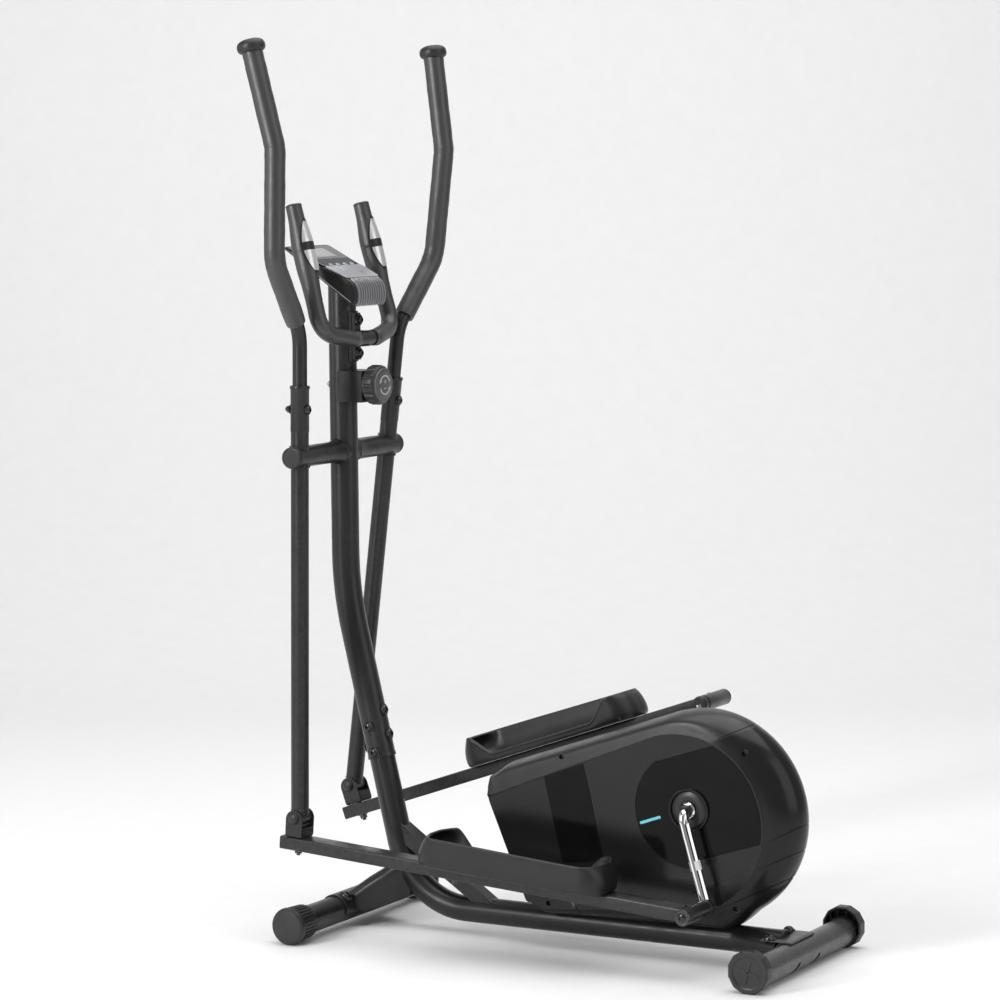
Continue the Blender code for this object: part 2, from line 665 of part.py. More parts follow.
def build_brake_bracket():
    """A curved magnet carrier that swings on a pin above the flywheel."""
    inner = FLYWHEEL_RADIUS + 0.0055
    first = math.radians(58)
    last = math.radians(128)
    outline = arc(FLYWHEEL_X, FLYWHEEL_Z, inner + 0.009, first, last, 7)
    outline += arc(FLYWHEEL_X, FLYWHEEL_Z, inner, last, first, 7)
    bracket = plate("brake_bracket", outline, -0.024, 0.008, STEEL)
    boss = cylinder("brake_boss", 0.0085, -0.024, 0.008, "y", (BRAKE_X, 0, BRAKE_Z), guide=True)
    arm_part = plate("brake_arm", [
        (BRAKE_X - 0.006, BRAKE_Z + 0.008), (BRAKE_X - 0.026, BRAKE_Z + 0.021),
        (BRAKE_X - 0.028, BRAKE_Z + 0.010), (BRAKE_X - 0.008, BRAKE_Z - 0.001)],
        -0.024, 0.008, guide=True)
    join(bracket, boss, arm_part)
    cut(bracket, cylinder("brake_bore", around(0.004, 12), -0.03, 0.03, "y", (BRAKE_X, 0, BRAKE_Z),
                          guide=True, segments=12))
    return bracket


# ---------------------------------------------------------------- swing arms

ARM_RADIUS = 0.016
UPPER_RADIUS = 0.013
COLLAR_TOP = 0.125
BOLT_HEIGHT = 0.084
ARM_BOLT_RADIUS = 0.0038
HUB_INNER = 0.086
HUB_OUTER = 0.168
BUSH_RADIUS = 0.0118
BARREL_RADIUS = 0.0145
BARREL_HALF = 0.0165
LOWER_PIN_RADIUS = 0.006


def build_lower_arm(side_name, side):
    """The straight lower tube with its pivot sleeve and the barrel at its lower end."""
    rig = arm_frames[side]
    y = side * ARM_Y
    arm = tube(f"{side_name}_lower_arm", [(0, y, -ARM_LENGTH), (0, y, COLLAR_TOP)], ARM_RADIUS,
               BLACK_PAINT, rig)
    hub_low, hub_high = mirror_y(side, HUB_INNER, HUB_OUTER)
    hub = cylinder(f"{side_name}_arm_hub", CROSS_RADIUS, hub_low, hub_high, "y", (0, 0, 0),
                   parent=rig, guide=True)
    trim = box(f"{side_name}_arm_trim", (-0.03, y - 0.03, -ARM_LENGTH - 0.03),
               (0.03, y + 0.03, -ARM_LENGTH + 0.002), parent=rig, guide=True)
    barrel = cylinder(f"{side_name}_arm_barrel", BARREL_RADIUS, y - BARREL_HALF, y + BARREL_HALF, "y",
                      (0, 0, -ARM_LENGTH), parent=rig, guide=True)
    cut(arm, trim)
    join(arm, hub, barrel)
    bore = cylinder(f"{side_name}_arm_bore", around(UPPER_RADIUS), -ARM_LENGTH + 0.03, COLLAR_TOP + 0.01,
                    "z", (0, y, 0), parent=rig, guide=True)
    hub_bore = cylinder(f"{side_name}_hub_bore", around(BUSH_RADIUS), *mirror_y(side, 0.05, 0.2), "y",
                        (0, 0, 0), parent=rig, guide=True)
    pin_bore = cylinder(f"{side_name}_barrel_bore", around(LOWER_PIN_RADIUS, 12),
                        *mirror_y(side, 0.1, 0.2), "y", (0, 0, -ARM_LENGTH), parent=rig, guide=True,
                        segments=12)
    cut(arm, bore, hub_bore, pin_bore, bolt_hole(side_name, side))
    return arm


def bolt_hole(side_name, side):
    return cylinder(f"{side_name}_bolt_hole", around(ARM_BOLT_RADIUS, 8), -0.03, 0.03, "x",
                    (0, side * ARM_Y, BOLT_HEIGHT), parent=arm_frames[side], guide=True, segments=8)


def upper_arm_path(side, top=0.712):
    """The bent upper handle: up, out, up again and leaning to the front at the top."""
    corners = [(0.0, 0.0, 0.040), (0.0, 0.0, 0.2188), (0.0072, 0.0930, 0.3459),
               (0.0074, 0.0905, 0.5445), (-0.0370, 0.0950, top)]
    return rounded_path([(x, side * (ARM_Y + out), z) for x, out, z in corners], 0.075, 3)


def build_upper_arm(side_name, side):
    arm = tube(f"{side_name}_upper_arm", upper_arm_path(side), UPPER_RADIUS, BLACK_PAINT,
               arm_frames[side], wall=TUBE_WALL, resolution=3)
    cut(arm, cylinder(f"{side_name}_upper_hole", around(ARM_BOLT_RADIUS, 8), -0.03, 0.03, "x",
                      (0, side * ARM_Y, BOLT_HEIGHT), parent=arm_frames[side], guide=True,
                      segments=8))
    return arm


def build_arm_grip(side_name, side):
    """The foam sleeve over the upper handle, open at both ends."""
    rig = arm_frames[side]
    path = upper_arm_path(side)
    lower_end = path[4].lerp(path[5], 0.03)
    shown = [lower_end, *[point for point in path if point.z > 0.26]]
    shown[-1] = path[-1] + (path[-2] - path[-1]).normalized() * 0.004
    grip = tube(f"{side_name}_arm_grip", shown, 0.0184, FOAM, rig, resolution=3)
    inner = tube(f"{side_name}_grip_bore", path_longer(path, 0.03), UPPER_RADIUS + GAP, parent=rig,
                 guide=True, resolution=3)
    cut(grip, inner)
    return grip


def build_arm_cap(side_name, side):
    """The mushroom cap that closes the top of the handle."""
    path = upper_arm_path(side)
    direction = (path[-1] - path[-2]).normalized()
    profile = [(0.0, 0.0155), (0.012, 0.0145), (0.020, 0.0105), (0.0245, 0.0035), (0.0245, -0.0010),
               (0.0215, -0.0035), (0.0, -0.0035)]
    cap = turned(f"{side_name}_arm_cap", profile, RUBBER, arm_frames[side],
                 location=path[-1] + direction * 0.0040)
    cap.rotation_mode = "QUATERNION"
    cap.rotation_quaternion = direction.to_track_quat("Z", "Y")
    return cap


def build_arm_bolt(side_name, side):
    """The through bolt that clamps both tubes: round head to the rear, cap nut to the front."""
    rig = arm_frames[side]
    centre = (0, side * ARM_Y, BOLT_HEIGHT)
    bolt = cylinder(f"{side_name}_arm_bolt", ARM_BOLT_RADIUS, -0.0200, 0.0200, "x", centre, STEEL, rig,
                    segments=8)
    head = cylinder(f"{side_name}_bolt_head", 0.0075, ARM_RADIUS + GAP, 0.0205, "x", centre,
                    parent=rig, guide=True, segments=12, end_radius=0.0062)
    nut = cylinder(f"{side_name}_bolt_nut", 0.0075, -0.0235, -ARM_RADIUS - GAP, "x", centre,
                   parent=rig, guide=True, segments=6)
    join(bolt, head, nut)
    return bolt


def build_bushing(side_name, side):
    low, high = mirror_y(side, HUB_INNER + 0.0005, HUB_OUTER - 0.0005)
    bush = cylinder(f"{side_name}_pivot_bushing", BUSH_RADIUS, low, high, "y", (0, 0, 0),
                    MATTE_PLASTIC, arm_frames[side])
    cut(bush, cylinder(f"{side_name}_bush_bore", around(AXLE_RADIUS), *mirror_y(side, 0.05, 0.2), "y",
                       (0, 0, 0), parent=arm_frames[side], guide=True))
    return bush


def build_pivot_end_cap(side_name, side):
    """The domed plug on the axle's end."""
    profile = [(0.0, 0.0125), (0.010, 0.0118), (0.0165, 0.0085), (0.0192, 0.0040), (0.0192, 0.0),
               (0.0083, 0.0), (0.0083, 0.0078), (0.0, 0.0078)]
    return turned(f"{side_name}_pivot_cap", profile, RUBBER,
                  location=(MAST_X, side * (HUB_OUTER + GAP), PIVOT_Z),
                  rotation=(-side * math.pi / 2, 0.0, 0.0))


# ---------------------------------------------------------------- pedal bars

BAR_HALF_WIDTH = 0.020
BAR_HALF_HEIGHT = 0.0115
BAR_FRONT = -0.028
BAR_TOP = -BAR_DROP + BAR_HALF_HEIGHT
SLEEVE_RADIUS = 0.0140
SLEEVE_INNER = 0.0970
SLEEVE_OUTER = 0.1790
BRACKET_PLATE = 0.003
CHEEK_GAP = 0.0175
PIN_RADIUS = 0.008
BRACKET_BOLT_RADIUS = 0.004


def build_pedal_bar(side_name, side):
    """The rectangular tube with the crank-pin sleeve across its rear end."""
    rig = bar_frames[side]
    y = side * ARM_Y
    low = (BAR_FRONT, y - BAR_HALF_WIDTH, -BAR_DROP - BAR_HALF_HEIGHT)
    high = (BAR_LENGTH - 0.006, y + BAR_HALF_WIDTH, BAR_TOP)
    bar = box(f"{side_name}_pedal_bar", low, high, BLACK_PAINT, rig, bevel=0.003)
    wall = Vector((0.0, TUBE_WALL, TUBE_WALL))
    hollow_low = Vector(low) + wall - Vector((0.01, 0.0, 0.0))
    hollow_high = Vector(high) - wall - Vector((0.012, 0.0, 0.0))
    cut(bar, box(f"{side_name}_bar_hollow", hollow_low, hollow_high, parent=rig, guide=True))
    pin = (BAR_LENGTH, 0.0, -BAR_DROP)
    join(bar, cylinder(f"{side_name}_pin_sleeve", SLEEVE_RADIUS,
                       *mirror_y(side, SLEEVE_INNER, SLEEVE_OUTER), "y", pin, parent=rig, guide=True))
    cut(bar, cylinder(f"{side_name}_sleeve_bore", around(PIN_RADIUS), *mirror_y(side, 0.09, 0.19),
                      "y", pin, parent=rig, guide=True))
    cut(bar, cylinder(f"{side_name}_bracket_hole", around(BRACKET_BOLT_RADIUS, 8), -BAR_DROP - 0.03,
                      BAR_TOP + 0.01, "z", (0, y, 0), parent=rig, guide=True, segments=8))
    return bar


def build_bar_bracket(side_name, side):
    """The U-shaped bracket on top of the bar that holds the arm's barrel."""
    rig = bar_frames[side]
    y = side * ARM_Y
    base = BAR_TOP + GAP
    outline = [(-0.017, base), (0.017, base), (0.017, -0.004)]
    outline += arc(0.0, -0.004 + 0.0017, 0.017, 0.0, math.pi, 8)
    outline += [(-0.017, -0.004)]
    outer = CHEEK_GAP + BRACKET_PLATE
    bracket = plate(f"{side_name}_bar_bracket", outline, y - outer, y + outer, BLACK_STEEL, rig)
    inside = box(f"{side_name}_bracket_inside", (-0.03, y - CHEEK_GAP, base + BRACKET_PLATE),
                 (0.03, y + CHEEK_GAP, 0.03), parent=rig, guide=True)
    pivot = cylinder(f"{side_name}_cheek_bore", around(LOWER_PIN_RADIUS, 12), y - 0.03, y + 0.03, "y",
                     (0, 0, 0), parent=rig, guide=True, segments=12)
    hole = cylinder(f"{side_name}_base_hole", around(BRACKET_BOLT_RADIUS, 8), base - 0.01, base + 0.01,
                    "z", (0, y, 0), parent=rig, guide=True, segments=8)
    cut(bracket, inside, pivot, hole)
    return bracket


def build_lower_pivot_bolt(side_name, side):
    rig = bar_frames[side]
    y = side * ARM_Y
    outer = CHEEK_GAP + BRACKET_PLATE + GAP
    bolt = cylinder(f"{side_name}_lower_pivot_bolt", LOWER_PIN_RADIUS, y - outer - 0.004,
                    y + outer + 0.004, "y", (0, 0, 0), STEEL, rig, segments=12)
    for tag, direction in (("near", -1), ("far", 1)):
        ends = sorted((y + direction * outer, y + direction * (outer + 0.0055)))
        head = cylinder(f"{side_name}_pivot_head_{tag}", 0.0105, *ends, "y", (0, 0, 0), parent=rig,
                        guide=True, segments=12)
        join(bolt, head)
    return bolt


def build_bracket_bolt(side_name, side):
    rig = bar_frames[side]
    centre = (0, side * ARM_Y, 0)
    seat = BAR_TOP + 2 * GAP + BRACKET_PLATE
    under = -BAR_DROP - BAR_HALF_HEIGHT - GAP
    bolt = cylinder(f"{side_name}_bracket_bolt", BRACKET_BOLT_RADIUS, under - 0.011, seat + 0.003,
                    "z", centre, STEEL, rig, segments=8)
    head = cylinder(f"{side_name}_bracket_head", 0.0075, seat, seat + 0.0045, "z", centre, parent=rig,
                    guide=True, segments=6)
    nut = cylinder(f"{side_name}_bracket_nut", 0.0075, under - 0.0075, under, "z", centre, parent=rig,
                   guide=True, segments=6)
    join(bolt, head, nut)
    return bolt


def build_pin_bolt(side_name, side):
    """The crank-pin bolt inside the sleeve, with its head at the outer end."""
    rig = bar_frames[side]
    centre = (BAR_LENGTH, 0, -BAR_DROP)
    bolt = cylinder(f"{side_name}_pin_bolt", PIN_RADIUS,
                    *mirror_y(side, SLEEVE_INNER, SLEEVE_OUTER + 0.002), "y", centre, CHROME, rig)
    head = cylinder(f"{side_name}_pin_head", 0.0115,
                    *mirror_y(side, SLEEVE_OUTER + GAP, SLEEVE_OUTER + 0.006), "y", centre, parent=rig,
                    guide=True)
    join(bolt, head)
    return bolt


# ---------------------------------------------------------------- foot trays


def smooth_step(value, start, end):
    share = min(max((value - start) / (end - start), 0.0), 1.0)
    return share * share * (3 - 2 * share)


def tray_height(along, across):
    """Wall height at a point of the rim; across runs from 0 at the inner side to 1 outside."""
    low_side = 0.014
    full = 0.048 + 0.004 * smooth_step(along, TRAY_REAR, TRAY_FRONT)
    toe = 1 - smooth_step(along, TRAY_FRONT + 0.045, TRAY_FRONT + 0.085)
    heel = smooth_step(along, TRAY_REAR - 0.085, TRAY_REAR - 0.045)
    outside = smooth_step(across, 0.35, 0.75)
    return low_side + (full - low_side) * max(toe, heel, outside)


def tray_outline(steps=4):
    """The tray's outline in plan, with round corners, as (along, across in metres) points."""
    radius = 0.042
    corners = [(TRAY_REAR - radius, TRAY_OUTER - radius, 0), (TRAY_FRONT + radius, TRAY_OUTER - radius, 1),
               (TRAY_FRONT + radius, TRAY_INNER + radius, 2), (TRAY_REAR - radius, TRAY_INNER + radius, 3)]
    outline = []
    for centre_s, centre_y, quarter in corners:
        first = quarter * math.pi / 2
        outline += arc(centre_s, centre_y, radius, first, first + math.pi / 2, steps)
    dense = []
    for (s_here, y_here), (s_next, y_next) in zip(outline, outline[1:] + outline[:1]):
        pieces = max(1, round(abs(s_next - s_here) / 0.026))
        for step in range(pieces):
            share = step / pieces
            dense.append((s_here + (s_next - s_here) * share, y_here + (y_next - y_here) * share))
    return dense


def build_foot_tray(side_name, side):
    """The foot tray: a floor with a wall around it that is low along the inner side."""
    floor = BAR_TOP + GAP + TRAY_WALL
    bm = bmesh.new()
    rim = [bm.verts.new((s, side * y, floor)) for s, y in tray_outline()]
    base = bm.faces.new(rim)
    bmesh.ops.inset_region(bm, faces=[base], thickness=0.006, use_even_offset=False)
    edges = [edge for edge in bm.edges if edge.is_boundary]
    wall = bmesh.ops.extrude_edge_only(bm, edges=edges)
    top = [item for item in wall["geom"] if isinstance(item, bmesh.types.BMVert)]
    for vert in top:
        across = (side * vert.co.y - TRAY_INNER) / (TRAY_OUTER - TRAY_INNER)
        vert.co.z += tray_height(vert.co.x, across)
    for vert in rim:
        vert.co.z += 0.003
    bmesh.ops.recalc_face_normals(bm, faces=bm.faces)
    base.normal_update()
    if base.normal.z < 0:
        bmesh.ops.reverse_faces(bm, faces=bm.faces)
    mesh = bpy.data.meshes.new(f"{side_name}_foot_tray")
    bm.to_mesh(mesh)
    bm.free()
    mesh.shade_smooth()
    tray = add_object(f"{side_name}_foot_tray", mesh, MATTE_PLASTIC, bar_frames[side])
    shell = tray.modifiers.new("wall", "SOLIDIFY")
    shell.thickness = TRAY_WALL
    shell.offset = -1.0
    return tray


# ---------------------------------------------------------------- fixed handlebar


def handlebar_path():
    """A U that rises from a loop behind the mast to two upright grips."""
    half = [(0.040, HANDLE_LOOP_X, HANDLE_LOOP_Z), (0.1220, MAST_X + 0.031, 1.078),
            (0.1155, MAST_X - 0.0070, 1.222), (0.1140, MAST_X - 0.0275, 1.305)]
    right = [Vector((x, y, z)) for y, x, z in half]
    left = [Vector((point.x, -point.y, point.z)) for point in right]
    return rounded_path([*reversed(left), *right], 0.038, 3)


def build_handlebar():
    path = handlebar_path()
    bar = tube("fixed_handlebar", path, HANDLE_RADIUS, BLACK_PAINT, wall=TUBE_WALL, resolution=3)
    return bar


FOAM_RADIUS = 0.0152
FOAM_START = 0.026
SENSOR_LOW = 1.186
SENSOR_HIGH = 1.272


def build_handlebar_grip(side_name, side):
    """The foam sleeve over one half of the U, from beside the mast to the upright end."""
    whole = handlebar_path()
    path = [point for point in whole if side * point.y > 0.05]
    if side < 0:
        path.reverse()
    middle = Vector((path[0].x, 0.0, path[0].z))
    loop_end = path[0].lerp(middle, 1 - FOAM_START / abs(path[0].y))
    tip = path[-1] + (path[-1] - path[-2]).normalized() * 0.005
    grip = tube(f"handlebar_grip_{side_name}", [loop_end, *path[:-1], tip], FOAM_RADIUS, FOAM,
                resolution=3)
    core = tube(f"handlebar_core_{side_name}", path_longer(whole, 0.02), HANDLE_RADIUS + GAP,
                guide=True, resolution=3)
    cut(grip, core)
    return grip


def build_pulse_sensor(side_name, side):
    """The contact plates on the rear face of a grip: a curved strip that hugs the foam."""
    low = Vector((MAST_X + 0.0045, side * 0.1160, SENSOR_LOW))
    high = Vector((MAST_X - 0.0195, side * 0.1146, SENSOR_HIGH))
    along = (high - low).normalized()
    inward = Vector((0.55, -side * 0.84, 0.0))
    inward = (inward - along * inward.dot(along)).normalized()
    length = (high - low).length
    strip = []
    for angle_step in range(7):
        angle = math.radians(-42 + 14 * angle_step)
        strip.append((FOAM_RADIUS + 2 * GAP, angle))
    bm = bmesh.new()
    outer = [(FOAM_RADIUS + 0.0022, angle) for _, angle in strip]
    ring = strip + outer[::-1]
    across = along.cross(inward).normalized()
    face = bm.faces.new([bm.verts.new(low + inward * r * math.cos(a) + across * r * math.sin(a))
                         for r, a in ring])
    sweep = bmesh.ops.extrude_face_region(bm, geom=[face])
    moved = [item for item in sweep["geom"] if isinstance(item, bmesh.types.BMVert)]
    bmesh.ops.translate(bm, verts=moved, vec=along * length)
    return add_object(f"pulse_sensor_{side_name}", mesh_from(bm, f"pulse_sensor_{side_name}"), CHROME)


# ---------------------------------------------------------------- console and tension control

FACE_FRONT = Vector((MAST_X - 0.076, 0.0, 1.2285))
BUTTON_RADIUS = 0.0048


def build_console():
    """A wedge that is wide and thin at its front edge and deep at its ribbed rear end."""
    x = MAST_X
    outline = [(x - 0.076, 1.2255), (x - 0.076, 1.2285), (x + 0.016, 1.1860), (x + 0.048, 1.1870),
               (x + 0.0565, 1.1740), (x + 0.0615, 1.1560), (x + 0.0630, 1.1400), (x + 0.0610, 1.1280),
               (x + 0.0550, 1.1235)]
    bm = bmesh.new()
    face = bm.faces.new([bm.verts.new((px, -0.5, pz)) for px, pz in outline])
    sweep = bmesh.ops.extrude_face_region(bm, geom=[face])
    moved = [item for item in sweep["geom"] if isinstance(item, bmesh.types.BMVert)]
    bmesh.ops.translate(bm, verts=moved, vec=(0.0, 1.0, 0.0))
    for vert in bm.verts:
        share = (vert.co.x - (x - 0.076)) / 0.139
        vert.co.y *= 2 * (0.074 - 0.020 * share)
    console = add_object("console_body", mesh_from(bm, "console_body", 25.0), MATTE_PLASTIC)
    lens_seat = face_box("display_seat", 0.010, 0.064, 0.052, -0.0023, 0.01)
    cut(console, lens_seat)
    for number in range(4):
        cut(console, face_pin(f"button_hole_{number}", number, around(BUTTON_RADIUS, 12), -0.006, 0.01))
    return console


def on_face(obj):
    """Lays an object, modelled with +X down the slope and +Z out, onto the console's face."""
    obj.location = FACE_FRONT
    obj.rotation_euler = (0.0, CONSOLE_FACE_SLOPE, 0.0)
    return obj


def face_box(name, start, end, half_width, low, high, mat=None):
    piece = box(name, (start, -half_width, low), (end, half_width, high), mat, guide=mat is None)
    return on_face(piece)


def face_pin(name, number, radius, low, high, mat=None):
    y = (number - 1.5) * 0.024
    piece = cylinder(name, radius, low, high, "z", (0.083, y, 0), mat, guide=mat is None, segments=12)
    return on_face(piece)


def build_display():
    return face_box("console_display", 0.010 + GAP, 0.064 - GAP, 0.052 - GAP, -0.0020, 0.0003, LENS)


def build_button(number):
    button = face_pin(f"console_button_{number + 1}", number, BUTTON_RADIUS, -0.0045, 0.0018,
                      SILVER_PLASTIC)
    return button


def build_tension_box():
    """The block that clasps the mast and carries the tension knob."""
    x = MAST_X
    block = box("tension_box", (x + 0.004, -0.030, 0.949), (x + 0.056, 0.030, 1.006), MATTE_PLASTIC,
                bevel=0.0025)
    cut(block, cylinder("tension_box_seat", around(MAST_RADIUS), 0.9, 1.05, "z", (x, 0, 0),
                        guide=True))
    return block


def build_knob():
    """A grooved knob with a domed face, turned about X."""
    teeth = 12
    depth = 0.0025
    start = MAST_X + 0.056 + GAP
    bm = bmesh.new()
    add_cylinder(bm, 0.036, start + 0.004, start + 0.028, "x", (0, 0, KNOB_Z), teeth * 3)
    centre = Vector((0.0, 0.0, KNOB_Z))
    for vert in bm.verts:
        spoke = Vector((0.0, vert.co.y, vert.co.z - KNOB_Z))
        turn = math.atan2(spoke.z, spoke.y) * teeth
        scale = 1.0 if math.cos(turn) > -0.5 else 1 - depth / 0.036
        vert.co = Vector((vert.co.x, spoke.y * scale, centre.z + spoke.z * scale))
    knob = add_object("tension_knob", mesh_from(bm, "tension_knob", 30.0), MATTE_PLASTIC)
    base = cylinder("knob_base", 0.030, start, start + 0.0045, "x", (0, 0, KNOB_Z), guide=True,
                    segments=20)
    face = cylinder("knob_face", 0.0345, start + 0.0275, start + 0.0325, "x", (0, 0, KNOB_Z),
                    guide=True, segments=24, end_radius=0.030)
    join(knob, base, face)
    return knob


# ---------------------------------------------------------------- assembly


def build_all():
    build_main_frame()
    build_mast()
    build_pivot_axle()
    build_foot_tube("front_stabilizer", FRONT_FOOT_X, FRONT_FOOT_Z, FRONT_FOOT_HALF - 0.014)
    build_foot_tube("rear_stabilizer", REAR_FOOT_X, REAR_FOOT_Z, REAR_FOOT_HALF - 0.0045)
    build_crank()
    build_drive_pulley()
    build_belt()
    build_flywheel()
    build_flywheel_axle()
    build_brake_bracket()
    build_handlebar()
    build_console()
    build_display()
    for number in range(4):
        build_button(number)
    build_tension_box()
    build_knob()
    for side_name, side in SIDES.items():
        build_transport_wheel(side_name, side)
        build_leveller(side_name, side)
        build_housing_shell(side_name, side)
        build_hub_cover(side_name, side)
        build_crank_bearing(side_name, side)
        build_lower_arm(side_name, side)
        build_upper_arm(side_name, side)
        build_arm_grip(side_name, side)
        build_arm_cap(side_name, side)
        build_arm_bolt(side_name, side)
        build_bushing(side_name, side)
        build_pivot_end_cap(side_name, side)
        build_pedal_bar(side_name, side)
        build_bar_bracket(side_name, side)
        build_lower_pivot_bolt(side_name, side)
        build_bracket_bolt(side_name, side)
        build_pin_bolt(side_name, side)
        build_foot_tray(side_name, side)
        build_handlebar_grip(side_name, side)
        build_pulse_sensor(side_name, side)


build_all()
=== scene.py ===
"""Looks of the elliptical trainer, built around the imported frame.

Metres, +Z up, +X to the rear of the machine. Each piece is modelled in the frame's own coordinates,
or in the local frame of a swing arm or pedal bar, and then rides on its body.
"""
import json
import math

import bmesh
import bpy
from mathutils import Matrix, Vector


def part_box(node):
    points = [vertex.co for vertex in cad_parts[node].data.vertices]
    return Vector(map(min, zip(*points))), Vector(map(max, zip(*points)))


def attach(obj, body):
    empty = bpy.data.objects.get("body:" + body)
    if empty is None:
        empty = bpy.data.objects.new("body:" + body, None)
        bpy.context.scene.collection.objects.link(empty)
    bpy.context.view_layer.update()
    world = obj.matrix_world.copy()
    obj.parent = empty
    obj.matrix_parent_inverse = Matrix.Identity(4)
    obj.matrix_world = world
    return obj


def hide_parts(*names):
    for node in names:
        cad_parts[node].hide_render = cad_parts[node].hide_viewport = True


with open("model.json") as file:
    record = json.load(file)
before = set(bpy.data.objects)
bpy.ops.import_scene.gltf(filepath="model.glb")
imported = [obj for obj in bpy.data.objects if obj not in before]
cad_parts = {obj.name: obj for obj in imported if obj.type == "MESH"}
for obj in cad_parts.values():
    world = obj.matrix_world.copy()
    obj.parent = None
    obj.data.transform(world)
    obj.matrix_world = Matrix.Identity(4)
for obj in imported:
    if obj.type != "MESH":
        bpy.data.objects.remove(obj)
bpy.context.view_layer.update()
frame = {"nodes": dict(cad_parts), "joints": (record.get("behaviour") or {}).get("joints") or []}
scene = bpy.context.scene

# --- places read from the frame

JOINT = {j["name"]: Vector(j["pos_m"]) for j in frame["joints"] if "pos_m" in j}
SIDES = {"left": -1, "right": 1}


def middle(node):
    low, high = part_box(node)
    return (low + high) / 2


PIVOT = Vector((JOINT["left_arm_swing"].x, 0.0, JOINT["left_arm_swing"].z))
CRANK = JOINT["crank_turn"]
FLYWHEEL = JOINT["flywheel_turn"]
FRONT_FOOT = middle("front_stabilizer")
REAR_FOOT = middle("rear_stabilizer")
KNOB = JOINT["tension_knob_turn"]
MX = PIVOT.x

# --- sizes

ARM_Y = 0.149                 # side distance of the arms and bars
ARM_LENGTH = (PIVOT - Vector((JOINT["left_bar_pivot"].x, 0.0, JOINT["left_bar_pivot"].z))).length
ARM_RADIUS = 0.016
HANDLE_TUBE = 0.013
GRIP_RADIUS = 0.0184
HUB_RADIUS = 0.019
BAR_DROP = 0.047
BAR_HALF_WIDTH = 0.020
BAR_HALF_HEIGHT = 0.0115
BAR_TOP = -BAR_DROP + BAR_HALF_HEIGHT
BAR_UNDER = -BAR_DROP - BAR_HALF_HEIGHT - 0.0003
SLEEVE_START = 0.0970         # the crank pin's sleeve, as distances from the middle plane
SLEEVE_END = 0.1790
CRANK_ARM_Y = 0.0862
FRAME_RADIUS = 0.0235
FRAME_Z = 0.0425
MAST_RADIUS = 0.025
FOOT_RADIUS = 0.025
FOOT_BORE = 0.0235
LEAN = math.radians(13.35)
MAST_BEND_Z = 0.607
LOOP = Vector((MX + 0.0455, 0.0, 1.063))
LOOP_RADIUS = 0.0125
LOOP_FOAM = 0.0152
FACE_FRONT = Vector((MX - 0.076, 0.0, 1.2285))
FACE_SLOPE = math.atan2(0.0425, 0.092)
SHELL_WALL = 0.0025

# --- materials


